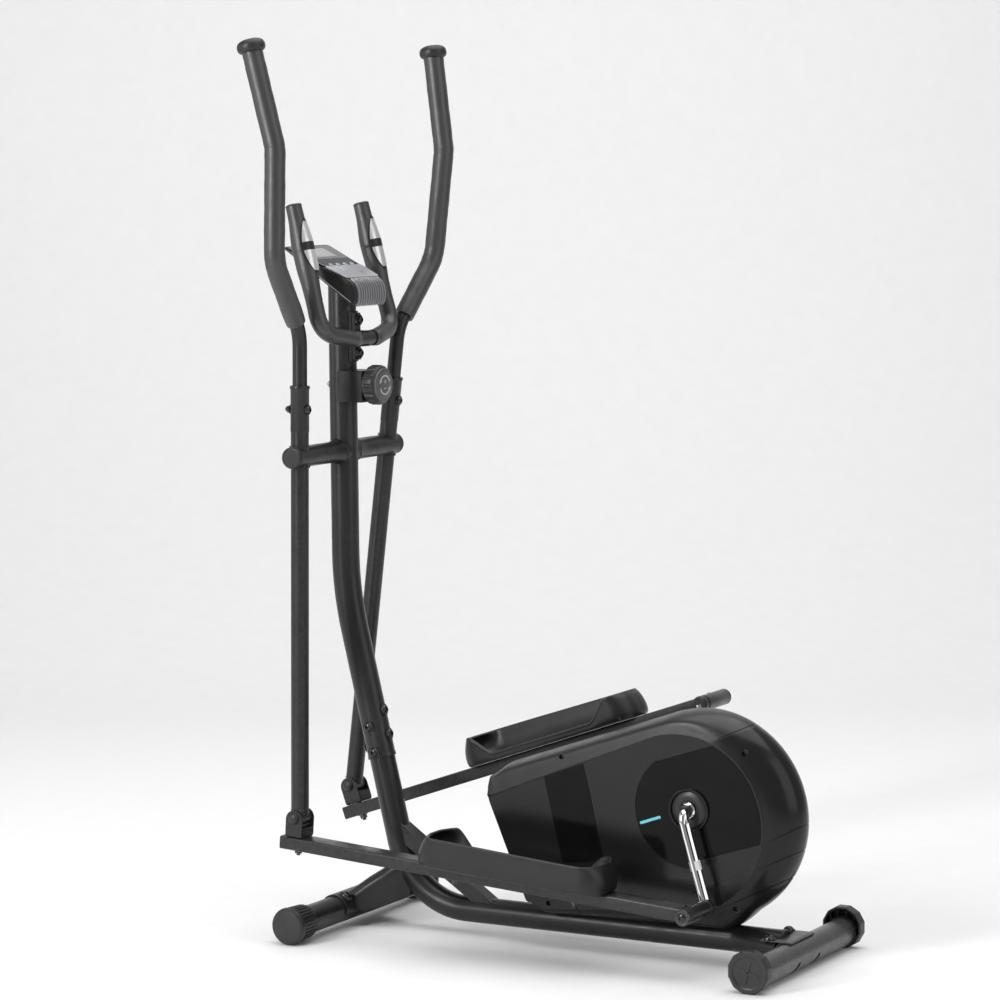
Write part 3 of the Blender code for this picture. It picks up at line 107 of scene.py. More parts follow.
def finish(name, colour, rough, metal=0.0, grain=900.0, bump=0.06, mottle=0.16, vary=0.06,
           dust=0.0, wear=0.0, coat=0.0, level=0.5, cells=False):
    """A procedural surface: mottled colour, uneven roughness, fine grain, some dust and worn edges."""
    mat = bpy.data.materials.new(name)
    mat.use_nodes = True
    nodes = mat.node_tree.nodes
    links = mat.node_tree.links
    shader = nodes["Principled BSDF"]
    shader.inputs["Metallic"].default_value = metal
    shader.inputs["Specular IOR Level"].default_value = level
    shader.inputs["Coat Weight"].default_value = coat
    shader.inputs["Coat Roughness"].default_value = 0.08
    mat.diffuse_color = (*colour, 1.0)
    place = nodes.new("ShaderNodeTexCoord").outputs["Object"]

    def noise(scale, detail=3.0):
        node = nodes.new("ShaderNodeTexNoise")
        node.inputs["Scale"].default_value = scale
        node.inputs["Detail"].default_value = detail
        links.new(place, node.inputs["Vector"])
        return node.outputs["Fac"]

    def spread(value, low, high, start=0.3, end=0.7):
        node = nodes.new("ShaderNodeMapRange")
        node.inputs["From Min"].default_value = start
        node.inputs["From Max"].default_value = end
        node.inputs["To Min"].default_value = low
        node.inputs["To Max"].default_value = high
        links.new(value, node.inputs["Value"])
        return node.outputs["Result"]

    def blend(share, first, second):
        node = nodes.new("ShaderNodeMix")
        node.data_type = "RGBA"
        links.new(share, node.inputs["Factor"])
        for value, socket in ((first, node.inputs["A"]), (second, node.inputs["B"])):
            if isinstance(value, tuple):
                socket.default_value = (*value, 1.0)
            else:
                links.new(value, socket)
        return node.outputs["Result"]

    def product(first, second):
        node = nodes.new("ShaderNodeMath")
        node.operation = "MULTIPLY"
        links.new(first, node.inputs[0])
        links.new(second, node.inputs[1])
        return node.outputs["Value"]

    darker = tuple(c * (1 - mottle) for c in colour)
    lighter = tuple(c * (1 + mottle) for c in colour)
    tint = blend(spread(noise(23.0), 0.0, 1.0), darker, lighter)
    if dust:
        geometry = nodes.new("ShaderNodeNewGeometry")
        split = nodes.new("ShaderNodeSeparateXYZ")
        links.new(geometry.outputs["Normal"], split.inputs["Vector"])
        upward = spread(split.outputs["Z"], 0.0, dust, 0.35, 1.0)
        settled = product(upward, spread(noise(60.0, 5.0), 0.3, 1.0))
        tint = blend(settled, tint, (0.36, 0.35, 0.34))
    if wear:
        edges = nodes.new("ShaderNodeNewGeometry").outputs["Pointiness"]
        rubbed = product(spread(edges, 0.0, wear, 0.53, 0.60), spread(noise(140.0), 0.0, 1.0))
        tint = blend(rubbed, tint, tuple(0.5 * c + 0.16 for c in colour))
    links.new(tint, shader.inputs["Base Color"])
    links.new(spread(noise(37.0, 4.0), rough - vary, rough + vary), shader.inputs["Roughness"])
    if cells:
        pattern = nodes.new("ShaderNodeTexVoronoi")
        pattern.inputs["Scale"].default_value = grain
        links.new(place, pattern.inputs["Vector"])
        height = pattern.outputs["Distance"]
    else:
        height = noise(grain, 2.0)
    relief = nodes.new("ShaderNodeBump")
    relief.inputs["Strength"].default_value = bump
    relief.inputs["Distance"].default_value = 0.0006
    links.new(height, relief.inputs["Height"])
    links.new(relief.outputs["Normal"], shader.inputs["Normal"])
    return mat


PAINT = finish("black_paint", (0.012, 0.012, 0.0125), 0.33, grain=700, bump=0.10, dust=0.02, wear=0.08,
               level=0.42)
# A lighter, shinier copy of the black paint for the rear foot tube: painted light, the brighter look that
# tube has under the lamps; its dust and wear are real.
LIT_FOOT_PAINT = finish("foot_paint_painted_light", (0.032, 0.032, 0.033), 0.30, grain=600, bump=0.12, dust=0.03, wear=0.10,
                    level=0.75)
GRAINED = finish("grained_plastic", (0.012, 0.012, 0.0125), 0.37, grain=1300, bump=0.20, dust=0.02,
                 wear=0.06, level=0.42)
TREAD = finish("tread_plastic", (0.030, 0.030, 0.031), 0.45, grain=1300, bump=0.20, dust=0.10, wear=0.30)
SHELL_MATTE = finish("housing_satin", (0.016, 0.016, 0.0165), 0.36, grain=1500, bump=0.05, dust=0.01,
                     level=0.42)
SHELL_GLOSS = finish("housing_gloss", (0.0105, 0.0105, 0.011), 0.22, grain=300, bump=0.008, vary=0.03,
                     mottle=0.10, level=0.27)
PIANO = finish("piano_black", (0.0050, 0.0050, 0.0055), 0.10, grain=120, bump=0.004, vary=0.02,
               level=0.10)
FOAM = finish("foam", (0.025, 0.0245, 0.0245), 0.40, grain=1700, bump=0.14, vary=0.04, dust=0.01,
              level=0.85, cells=True)
RUBBER = finish("rubber", (0.014, 0.014, 0.0145), 0.42, grain=1100, bump=0.20, dust=0.02, wear=0.08)
CHROME = finish("chrome", (0.78, 0.78, 0.79), 0.07, metal=1.0, grain=60, bump=0.01, mottle=0.03,
                vary=0.03)
STEEL = finish("zinc_steel", (0.42, 0.42, 0.43), 0.30, metal=1.0, grain=400, bump=0.05, vary=0.08)
DARK_STEEL = finish("black_steel", (0.050, 0.050, 0.052), 0.24, metal=0.85, grain=500, bump=0.06,
                    wear=0.45)
IRON = finish("cast_iron", (0.13, 0.13, 0.13), 0.55, metal=0.9, grain=500, bump=0.3)
SILVER = finish("silver_lacquer", (0.44, 0.45, 0.47), 0.30, metal=0.35, grain=900, bump=0.03, mottle=0.04)
RIB_GREY = finish("rib_grey", (0.25, 0.25, 0.26), 0.34, metal=0.3, grain=900, bump=0.04, mottle=0.06)
KNOB_GREY = finish("knob_grey", (0.10, 0.10, 0.105), 0.36, metal=0.3, grain=900, bump=0.04, mottle=0.06)
PANEL = finish("display_panel", (0.12, 0.12, 0.125), 0.30, grain=80, bump=0.006, mottle=0.05, vary=0.03,
               level=0.35)
GLASS_GREY = finish("lcd_glass", (0.34, 0.34, 0.33), 0.30, grain=80, bump=0.004, mottle=0.04, vary=0.02)
CONTACT = finish("contact_plate", (0.66, 0.65, 0.64), 0.24, metal=0.6, grain=700, bump=0.12,
                 mottle=0.05)
BLUE = finish("button_blue", (0.10, 0.20, 0.38), 0.25, grain=300, bump=0.02, coat=0.3)
CYAN = finish("cyan_accent", (0.16, 0.60, 0.72), 0.30, grain=400, bump=0.02, mottle=0.06)
PRINT = finish("grey_print", (0.42, 0.42, 0.43), 0.40, grain=500, bump=0.03, mottle=0.06)
WHITE = finish("white_band", (0.66, 0.66, 0.65), 0.35, grain=400, bump=0.03, mottle=0.04)

# --- mesh helpers


def place(origin, direction, turn=0.0):
    """A matrix that puts local +Z along the direction at the origin."""
    quat = Vector(direction).to_track_quat("Z", "Y")
    return Matrix.Translation(Vector(origin)) @ quat.to_matrix().to_4x4() @ Matrix.Rotation(turn, 4, "Z")


def loft(bm, rings, close=True):
    """Faces between rings of equal length; the ends are capped when close is set."""
    for first, second in zip(rings, rings[1:]):
        count = len(first)
        for i in range(count):
            j = (i + 1) % count
            bm.faces.new((first[i], first[j], second[j], second[i]))
    if close:
        bm.faces.new(list(reversed(rings[0])))
        bm.faces.new(rings[-1])


def cross_frames(path):
    """Point, side and up vectors along a path, without twist."""
    tangents = []
    for i in range(len(path)):
        before = path[max(i - 1, 0)]
        after = path[min(i + 1, len(path) - 1)]
        tangents.append((after - before).normalized())
    side = tangents[0].orthogonal().normalized()
    if abs(tangents[0].y) < 0.9:
        side = Vector((0.0, 1.0, 0.0)) - tangents[0] * tangents[0].y
        side.normalize()
    found = []
    for point, tangent in zip(path, tangents):
        side = (side - tangent * side.dot(tangent)).normalized()
        found.append((point, side, tangent.cross(side)))
    return found


def sweep_rings(bm, path, section):
    """Rings of vertices; section(i) gives the (side, up) points of ring i."""
    rings = []
    for i, (point, side, up) in enumerate(cross_frames(path)):
        rings.append([bm.verts.new(point + side * a + up * b) for a, b in section(i)])
    return rings


QUADRANTS = ((1, 1, 0), (-1, 1, 90), (-1, -1, 180), (1, -1, 270))


def circle(radius, sides=32):
    step = 2 * math.pi / sides
    return [(radius * math.cos(step * i), radius * math.sin(step * i)) for i in range(sides)]


def tube(bm, path, radius, inner=None, sides=32):
    """A round tube along a path. The radius may be a list; with an inner radius it is open."""
    radii = radius if isinstance(radius, list) else [radius] * len(path)
    outer = sweep_rings(bm, path, lambda i: circle(radii[i], sides))
    if inner is None:
        loft(bm, outer)
        return
    core = sweep_rings(bm, path, lambda i: circle(inner, sides))
    loft(bm, outer, close=False)
    loft(bm, core[::-1], close=False)
    for edge_out, edge_in in ((outer[0], core[0]), (outer[-1], core[-1])):
        loft(bm, [edge_in, edge_out], close=False)


def rod(bm, start, end, radius, inner=None, sides=32):
    """A straight tube between two points."""
    tube(bm, [Vector(start), Vector(end)], radius, inner, sides)


def lathe(bm, profile, matrix, steps=40):
    """A profile of (radius, height) points turned about local Z; radius 0 makes a pole."""
    rings = []
    for radius, height in profile:
        if radius < 1e-6:
            rings.append([bm.verts.new(matrix @ Vector((0.0, 0.0, height)))])
            continue
        rings.append([bm.verts.new(matrix @ Vector((a, b, height))) for a, b in circle(radius, steps)])
    for first, second in zip(rings, rings[1:]):
        for i in range(steps):
            j = (i + 1) % steps
            corners = [first[i % len(first)], first[j % len(first)], second[j % len(second)],
                       second[i % len(second)]]
            unique = list(dict.fromkeys(corners))
            if len(unique) > 2:
                bm.faces.new(unique)


def ring_lathe(bm, profile, matrix, steps=40):
    """A closed profile turned about local Z."""
    lathe(bm, [*profile, profile[0]], matrix, steps)
    bmesh.ops.remove_doubles(bm, verts=bm.verts, dist=1e-6)


def block(bm, low, high, matrix=None):
    size = Vector(high) - Vector(low)
    centre = (Vector(high) + Vector(low)) / 2
    local = Matrix.Translation(centre) @ Matrix.Diagonal((*size, 1.0))
    return bmesh.ops.create_cube(bm, size=1.0, matrix=matrix @ local if matrix else local)["verts"]


def prism(bm, outline, low, high, lift):
    """An outline of 2D points between two heights; lift(a, b, h) gives the place."""
    bottom = [bm.verts.new(lift(a, b, low)) for a, b in outline]
    top = [bm.verts.new(lift(a, b, high)) for a, b in outline]
    loft(bm, [bottom, top])


def across_y(x, z, y):
    """Lifts an XZ outline along Y."""
    return Vector((x, y, z))


def upright(x, y, z):
    """Lifts an XY outline along Z."""
    return Vector((x, y, z))


def rounded_path(corners, radius, steps=12):
    """Straight stretches joined by arcs of the radius."""
    corners = [Vector(corner) for corner in corners]
    path = [corners[0]]
    for before, corner, after in zip(corners, corners[1:], corners[2:]):
        to_before = (before - corner).normalized()
        to_after = (after - corner).normalized()
        half = to_before.angle(to_after) / 2
        tangent = radius / math.tan(half)
        centre = corner + (to_before + to_after).normalized() * radius / math.sin(half)
        start = corner + to_before * tangent - centre
        end = corner + to_after * tangent - centre
        sweep = start.angle(end)
        for step in range(steps + 1):
            share = step / steps
            turned = math.sin((1 - share) * sweep) * start + math.sin(share * sweep) * end
            path.append(centre + turned / math.sin(sweep))
    path.append(corners[-1])
    return path


def arc(centre, radius, first, last, steps):
    """Points of an arc, with angles in degrees from +X towards +Z."""
    angles = [math.radians(first + (last - first) * step / steps) for step in range(steps + 1)]
    return [(centre[0] + radius * math.cos(a), centre[1] + radius * math.sin(a)) for a in angles]


def object_from(name, bm, mat, angle=35.0):
    bmesh.ops.recalc_face_normals(bm, faces=bm.faces)
    mesh = bpy.data.meshes.new(name)
    bm.to_mesh(mesh)
    bm.free()
    mesh.shade_smooth()
    mesh.set_sharp_from_angle(angle=math.radians(angle))
    mesh.materials.append(mat)
    obj = bpy.data.objects.new(name, mesh)
    scene.collection.objects.link(obj)
    return obj


def settle(obj, body, replaces=()):
    """The piece rides on its body and the nodes it stands for."""
    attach(obj, body)
    if replaces:
        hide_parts(*replaces)
    return obj


def piece(name, bm, mat, body, replaces=(), matrix=None, angle=35.0, bevel=0.0, segments=2):
    if matrix is not None:
        bmesh.ops.transform(bm, matrix=matrix, verts=bm.verts)
    obj = object_from(name, bm, mat, angle)
    if bevel:
        soft = obj.modifiers.new("soft_edges", "BEVEL")
        soft.width = bevel
        soft.segments = segments
        soft.limit_method = "ANGLE"
        soft.angle_limit = math.radians(38)
        soft.harden_normals = True
    return settle(obj, body, replaces)


def carve(obj, cutters):
    """Takes the cutters out of the object for good and removes them."""
    for cutter in cutters:
        cut = obj.modifiers.new(cutter.name, "BOOLEAN")
        cut.operation = "DIFFERENCE"
        cut.solver = "EXACT"
        cut.object = cutter
    bpy.context.view_layer.update()
    graph = bpy.context.evaluated_depsgraph_get()
    mesh = bpy.data.meshes.new_from_object(obj.evaluated_get(graph))
    if not mesh.polygons:
        raise ValueError(f"cutting {obj.name} left nothing of it")
    obj.modifiers.clear()
    obj.data = mesh
    for cutter in cutters:
        bpy.data.objects.remove(cutter)
    mesh.set_sharp_from_angle(angle=math.radians(30))
    return obj


# --- fasteners


def button_head(bm, matrix, radius=0.0075, height=0.0048):
    """A round head with a socket, on a thin washer."""
    lathe(bm, [(0.0, height * 0.45), (radius * 0.34, height * 0.45), (radius * 0.36, height * 0.94),
               (radius * 0.52, height * 0.93), (radius * 0.80, height * 0.68), (radius, height * 0.22),
               (radius, 0.0), (0.0, 0.0)], matrix, 24)
    lathe(bm, [(0.0, 0.0004), (radius * 1.28, 0.0004), (radius * 1.28, -0.0010), (0.0, -0.0010)], matrix, 24)


def cap_nut(bm, matrix, radius=0.0075):
    """A hexagon nut with a dome, on a washer."""
    lathe(bm, [(0.0, 0.0062), (radius, 0.0062), (radius, 0.0004), (0.0, 0.0004)], matrix, 6)
    lathe(bm, [(0.0, 0.0120), (radius * 0.42, 0.0112), (radius * 0.70, 0.0090), (radius * 0.78, 0.0060),
               (0.0, 0.0060)], matrix, 20)
    lathe(bm, [(0.0, 0.0006), (radius * 1.3, 0.0006), (radius * 1.3, -0.0008), (0.0, -0.0008)], matrix, 24)


def stud_nut(bm, matrix, radius=0.0072, stud=0.0045):
    """A hexagon nut with the thread's end standing out of it."""
    lathe(bm, [(0.0, 0.0062), (radius * 0.8, 0.0066), (radius, 0.0055), (radius, 0.0), (0.0, 0.0)], matrix, 6)
    lathe(bm, [(0.0, 0.0060 + stud), (0.0030, 0.0060 + stud), (0.0037, 0.0052 + stud), (0.0037, 0.0050),
               (0.0, 0.0050)], matrix, 16)


# --- camera and light


def add_camera():
    camera = bpy.data.cameras.new("camera")
    camera.sensor_width = 36.0
    camera.lens = 124.84
    camera.shift_x = -0.0143
    camera.shift_y = -0.0059
    camera.clip_end = 60.0
    eye = bpy.data.objects.new("camera", camera)
    scene.collection.objects.link(eye)
    right = Vector((0.8746, 0.4848, -0.0099)).normalized()
    look = Vector((-0.4834, 0.8702, -0.0955)).normalized()
    up = right.cross(look).normalized()
    right = look.cross(up)
    turn = Matrix((right, up, -look)).transposed().to_4x4()
    eye.matrix_world = Matrix.Translation((MX + 3.2995, -5.3088, 1.3762)) @ turn
    scene.camera = eye


def add_area(name, location, target, size, power, shape=(1.0, 1.0)):
    light = bpy.data.lights.new(name, "AREA")
    light.shape = "RECTANGLE"
    light.size = size * shape[0]
    light.size_y = size * shape[1]
    light.energy = power
    lamp = bpy.data.objects.new(name, light)
    scene.collection.objects.link(lamp)
    lamp.location = location
    lamp.rotation_euler = (Vector(target) - Vector(location)).to_track_quat("-Z", "Y").to_euler()


CURVE_START = 2.6
CURVE_RADIUS = 1.6
WALL_AT = 4.2
WALL_HEIGHT = 7.0
STAGE_HALF_WIDTH = 9.0
STAGE_TURN = 29.0
WORLD_STRENGTH = 0.29


def add_stage():
    """A pale floor that curves up into a backdrop, and soft light around it."""
    bm = bmesh.new()
    curve = [(CURVE_START + CURVE_RADIUS * math.sin(a), CURVE_RADIUS - CURVE_RADIUS * math.cos(a))
             for a in [math.radians(6 * k) for k in range(1, 16)]]
    rows = []
    for along, height in [(-6.0, 0.0), (CURVE_START, 0.0), *curve, (WALL_AT, WALL_HEIGHT)]:
        rows.append([bm.verts.new((side * STAGE_HALF_WIDTH, along, height)) for side in (-1, 1)])
    for first, second in zip(rows, rows[1:]):
        bm.faces.new((first[0], first[1], second[1], second[0]))
    turn = Matrix.Rotation(math.radians(STAGE_TURN), 4, "Z")
    bmesh.ops.transform(bm, matrix=turn, verts=bm.verts)
    backdrop = finish("backdrop", (0.90, 0.895, 0.90), 0.62, grain=40, bump=0.01, mottle=0.01, vary=0.03)
    floor = object_from("floor", bm, backdrop, 60.0)
    world = bpy.data.worlds.new("studio")
    world.use_nodes = True
    world.node_tree.nodes["Background"].inputs["Color"].default_value = (0.97, 0.98, 1.0, 1.0)
    world.node_tree.nodes["Background"].inputs["Strength"].default_value = WORLD_STRENGTH
    scene.world = world
    scene.view_settings.view_transform = "Standard"
    add_area("key", (-1.5, -3.9, 2.3), (0.0, 0.0, 0.9), 1.2, 130, (0.5, 2.4))
    add_area("front_side", (-3.4, -1.6, 1.6), (0.0, 0.0, 0.6), 1.4, 14, (1.0, 1.8))
    add_area("rear_side", (3.9, -0.2, 2.0), (0.0, 0.0, 0.7), 2.6, 34, (1.0, 1.3))
    add_area("top", (0.3, 0.4, 4.2), (0.0, 0.0, 0.4), 4.2, 130)


# --- local frames of arms and bars

arm_frame = {}
bar_frame = {}
bar_length = {}
for side_name, side in SIDES.items():
    low_pivot = Vector((JOINT[f"{side_name}_bar_pivot"].x, 0.0, JOINT[f"{side_name}_bar_pivot"].z))
    lean = math.atan2(PIVOT.x - low_pivot.x, PIVOT.z - low_pivot.z)
    arm_frame[side] = Matrix.Translation(PIVOT) @ Matrix.Rotation(lean, 4, "Y")
    run = middle(f"{side_name}_pin_bolt") - low_pivot
    bar_length[side] = math.sqrt(run.x ** 2 + run.z ** 2 - BAR_DROP ** 2)
    rise = math.atan2(run.z, run.x) + math.atan2(BAR_DROP, bar_length[side])
    bar_frame[side] = Matrix.Translation(low_pivot) @ Matrix.Rotation(-rise, 4, "Y")

# --- frame, mast and feet


def socket_point(height):
    return Vector((MX + (MAST_BEND_Z - height) * math.tan(LEAN), 0.0, height))


def add_frame():
    """Beam, bend and mast socket, with the flared end, the brace and its lip, the crank post, the bearing
    shell, the flywheel brackets and the welds.
    """
    beam_end = Vector((REAR_FOOT.x - FOOT_RADIUS - 0.002, 0.0, FRAME_Z))
    bm = bmesh.new()
    path = rounded_path([socket_point(0.400), socket_point(FRAME_Z), beam_end], 0.140, 16)
    tube(bm, path, FRAME_RADIUS - 0.0003)
    flare = [beam_end + Vector((-0.090, 0.0, 0.0)), beam_end + Vector((-0.040, 0.0, 0.0)),
             beam_end + Vector((0.004, 0.0, 0.0))]
    widths = [(FRAME_RADIUS, FRAME_RADIUS), (0.030, 0.0225), (0.050, 0.0190)]
    rings = sweep_rings(bm, flare, lambda i: [(a * widths[i][0], b * widths[i][1]) for a, b in circle(1.0)])
    loft(bm, rings)
    brace = [(MX + 0.100, 0.201), (MX + 0.312, 0.056), (MX + 0.268, 0.056), (MX + 0.098, 0.169)]
    prism(bm, brace, -0.0150, 0.0150, across_y)
    lip = [(MX + 0.086, 0.214), (MX + 0.106, 0.203), (MX + 0.112, 0.176), (MX + 0.118, 0.150),
           (MX + 0.100, 0.150)]
    prism(bm, lip, -0.0165, 0.0165, across_y)
    block(bm, (CRANK.x - 0.022, -0.015, 0.061), (CRANK.x + 0.022, 0.015, CRANK.z - 0.012))
    ring_lathe(bm, [(0.025, -0.022), (0.025, 0.022), (0.0196, 0.022), (0.0196, -0.022)],
               place(CRANK, (0, 1, 0)))
    for y_low in (-0.030, 0.043):
        block(bm, (FLYWHEEL.x - 0.018, y_low, 0.070),
              (FLYWHEEL.x + 0.018, y_low + 0.004, FLYWHEEL.z + 0.016))
    block(bm, (FLYWHEEL.x - 0.021, -0.029, 0.067), (FLYWHEEL.x + 0.021, 0.046, 0.073))
    piece("frame_tubes", bm, PAINT, "frame", ["main_frame"], bevel=0.0006)
    bm = bmesh.new()
    weld_ring(bm, Vector((MX + 0.100, 0.0, 0.183)), Vector((0.82, 0.0, -0.57)), 0.0150, 0.0026)
    weld_ring(bm, beam_end + Vector((0.003, 0.0, 0.0)), Vector((1, 0, 0)), 0.0215, 0.0024)
    piece("frame_welds", bm, PAINT, "frame")


def weld_ring(bm, centre, axis, radius, bead):
    """An uneven weld bead round a joint."""
    matrix = place(centre, axis)
    steps = 60
    rings = []
    for k in range(steps):
        angle = 2 * math.pi * k / steps
        swell = bead * (1 + 0.16 * math.sin(15 * angle) + 0.07 * math.sin(37 * angle + 1.0))
        out = Vector((math.cos(angle), math.sin(angle), 0.0))
        ring = []
        for a, b in circle(swell, 8):
            ring.append(bm.verts.new(matrix @ (out * (radius + a) + Vector((0, 0, b)))))
        rings.append(ring)
    loft(bm, [*rings, rings[0]], close=False)


def saddle_sleeve(bm, centre, half, radius, first, last):
    """A curved plate along Y that hugs a foot tube between two angles in degrees."""
    inner = arc((centre.x, centre.z), radius, first, last, 18)
    outer = arc((centre.x, centre.z), radius + 0.0030, last, first, 18)
    prism(bm, inner + outer, -half, half, across_y)


def add_neck():
    """The formed channel from the front foot to the bend, and the saddle over the foot tube."""
    bm = bmesh.new()
    stations = [(FRONT_FOOT.x + 0.004, 0.056, 0.034, 0.061), (FRONT_FOOT.x + 0.024, 0.053, 0.029, 0.075),
                (FRONT_FOOT.x + 0.044, 0.048, 0.029, 0.090), (MX + 0.085, 0.038, 0.036, 0.107),
                (MX + 0.104, 0.031, 0.044, 0.119), (MX + 0.120, 0.024, 0.050, 0.124),
                (MX + 0.136, 0.016, 0.058, 0.118)]
    rings = []
    for x, half, low, high in stations:
        ring = []
        for sign_y, sign_z, first in QUADRANTS:
            corner = min(0.86 * half, 0.7 * (high - low), 0.024) if sign_z > 0 else 0.004
            centre = (sign_y * (half - corner), (high - corner) if sign_z > 0 else (low + corner))
            ring += [bm.verts.new((x, a, b)) for a, b in arc(centre, corner, first, first + 90, 8)]
        rings.append(ring)
    loft(bm, rings)
    neck = object_from("front_neck", bm, PAINT)
    bm = bmesh.new()
    rod(bm, (FRONT_FOOT.x, -0.2, FRONT_FOOT.z), (FRONT_FOOT.x, 0.2, FRONT_FOOT.z), FOOT_RADIUS + 0.0002)
    carve(neck, [object_from("neck_seat", bm, PAINT)])
    settle(neck, "frame")
    bm = bmesh.new()
    saddle_sleeve(bm, FRONT_FOOT, 0.083, FOOT_RADIUS + 0.0004, -12, 176)
    piece("front_saddle", bm, PAINT, "frame", bevel=0.0008)
    bm = bmesh.new()
    for side in (-1, 1):
        out = Vector((math.cos(math.radians(58)), 0.0, math.sin(math.radians(58))))
        seat = FRONT_FOOT + Vector((0, side * 0.0660, 0)) + out * (FOOT_RADIUS + 0.0040)
        button_head(bm, place(seat, out), 0.0096, 0.0068)
    piece("front_saddle_bolts", bm, DARK_STEEL, "frame")


def add_rear_saddle():
    bm = bmesh.new()
    saddle_sleeve(bm, REAR_FOOT, 0.048, FOOT_RADIUS + 0.0004, 70, 150)
    plate_z = REAR_FOOT.z + FOOT_RADIUS
    block(bm, (REAR_FOOT.x - 0.050, -0.048, plate_z + 0.0004), (REAR_FOOT.x + 0.004, 0.048, plate_z + 0.0034))
    piece("rear_saddle", bm, PAINT, "frame", bevel=0.0012)
    bm = bmesh.new()
    for y in (-0.040, 0.040):
        seat = Vector((REAR_FOOT.x - 0.036, y, plate_z + 0.0044))
        button_head(bm, place(seat, (-0.1, 0, 1)), 0.0088, 0.0064)
    piece("rear_saddle_bolts", bm, DARK_STEEL, "frame")


def add_mast():
    foot = socket_point(0.305)
    top = Vector((MX, 0.0, 1.166))
    path = rounded_path([top, (MX, 0.0, MAST_BEND_Z), foot], 0.62, 16)
    bm = bmesh.new()
    tube(bm, path, MAST_RADIUS, MAST_RADIUS - 0.0015, 48)
    cross = Vector((MX, 0.0, PIVOT.z))
    ends = [cross + Vector((0, y, 0))
            for y in (-0.0855, -0.060, -0.040, -0.024, 0.024, 0.040, 0.060, 0.0855)]
    radii = [HUB_RADIUS, HUB_RADIUS, HUB_RADIUS + 0.0006, HUB_RADIUS + 0.0045]
    tube(bm, ends, [*radii, *reversed(radii)], None, 40)
    rim = [foot.lerp(path[-2], share) for share in (0.0, 0.03)]
    tube(bm, rim, [MAST_RADIUS + 0.0010, MAST_RADIUS + 0.0004], MAST_RADIUS - 0.0014, 48)
    piece("mast_tube", bm, PAINT, "frame", ["mast"], angle=32)
    bm = bmesh.new()
    for y in (-0.0225, 0.0225):
        weld_ring(bm, cross + Vector((0, y, 0)), Vector((0, 1, 0)), HUB_RADIUS + 0.003, 0.0024)
    piece("mast_welds", bm, PAINT, "frame")
    bm = bmesh.new()
    plate = arc((MX, 0.0), MAST_RADIUS + 0.0003, -34, 34, 12)
    plate += arc((MX, 0.0), MAST_RADIUS + 0.0034, 34, -34, 12)
    prism(bm, plate, 1.0210, 1.1115, upright)
    block(bm, (MX + 0.0260, -0.0100, 1.0240), (MX + 0.0325, 0.0100, 1.1085))
    for z in (LOOP.z + 0.0130, LOOP.z - 0.0130):
        block(bm, (MX + 0.030, -0.012, z - 0.0012), (LOOP.x + 0.006, 0.012, z + 0.0012))
    piece("handlebar_mount", bm, PAINT, "frame", bevel=0.001)
    bm = bmesh.new()
    for z in (1.096, 1.036):
        seat = place((MX + 0.0350, 0.0, z), (1, 0, 0))
        lathe(bm, [(0.0, 0.0006), (0.0100, 0.0006), (0.0106, 0.0), (0.0106, -0.0016), (0.0, -0.0016)],
              seat, 32)
        button_head(bm, seat @ Matrix.Translation((0, 0, 0.0012)), 0.0080, 0.0060)
    piece("handlebar_mount_nuts", bm, DARK_STEEL, "frame")
    bm = bmesh.new()
    seat = place((MX, 0.0, 1.1660), (math.sin(0.66), 0, math.cos(0.66)))
    block(bm, (-0.030, -0.030, -0.0030), (0.030, 0.030, 0.0), seat)
    piece("console_seat", bm, PAINT, "frame", bevel=0.001)
    bm = bmesh.new()
    axis = (path[-2] - path[-1]).normalized()
    rear = Vector((axis.z, 0.0, -axis.x))
    for z, out in ((0.362, Vector((0, -1, 0))), (0.316, Vector((0, -1, 0))), (0.362, Vector((0, 1, 0))),
                   (0.316, Vector((0, 1, 0))), (0.386, rear), (0.343, rear), (0.327, -rear)):
        button_head(bm, place(socket_point(z) + out * (MAST_RADIUS + 0.0008), out), 0.0088, 0.0056)
    piece("mast_bolts", bm, DARK_STEEL, "frame")


def foot_mesh(node, centre):
    """A foot's open tube, as long as its node."""
    bm = bmesh.new()
    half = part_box(node)[1].y
    tube(bm, [Vector((centre.x, y, centre.z)) for y in (-half, half)], FOOT_RADIUS, FOOT_BORE, 48)
    return bm


def add_feet():
    """Both foot tubes, the slots in the rear one and the caps on all four ends."""
    piece("front_foot_tube", foot_mesh("front_stabilizer", FRONT_FOOT), PAINT, "frame",
          ["front_stabilizer"])
    # The rear foot tube takes the lighter copy of the black paint, which is painted light.
    rear_tube = object_from("rear_foot_tube", foot_mesh("rear_stabilizer", REAR_FOOT), LIT_FOOT_PAINT)
    slots = bmesh.new()
    out = Vector((math.cos(math.radians(-33)), 0, math.sin(math.radians(-33))))
    slot_places = [(y, out) for y in (-0.055, 0.026)]
    for y, normal in slot_places:
        slot_outline(slots, REAR_FOOT + Vector((0, y, 0)), normal, 0.0150, 0.0044, 0.015, 0.040)
    carve(rear_tube, [object_from("slot_cutter", slots, PAINT)])
    settle(rear_tube, "frame", ["rear_stabilizer"])
    bm = bmesh.new()
    for y, normal in slot_places:
        slot_outline(bm, REAR_FOOT + Vector((0, y, 0)), normal, 0.0145, 0.0040, 0.018, 0.0222)
    piece("slot_plugs", bm, RUBBER, "frame", bevel=0.0006)
    for side_name, side in SIDES.items():
        add_drum(side_name, side)
        add_end_cap(side_name, side)


def slot_outline(bm, centre, normal, half, radius, low, high):
    """A slanted long hole across the tube, as a prism along the normal."""
    along = Vector((0, 1, 0))
    slant = (along + normal.cross(along) * 0.9).normalized()
    across = normal.cross(slant)
    shape = arc((half - radius, 0), radius, -90, 90, 6) + arc((radius - half, 0), radius, 90, 270, 6)
    prism(bm, shape, low, high, lambda a, b, h: centre + slant * a + across * b + normal * h)


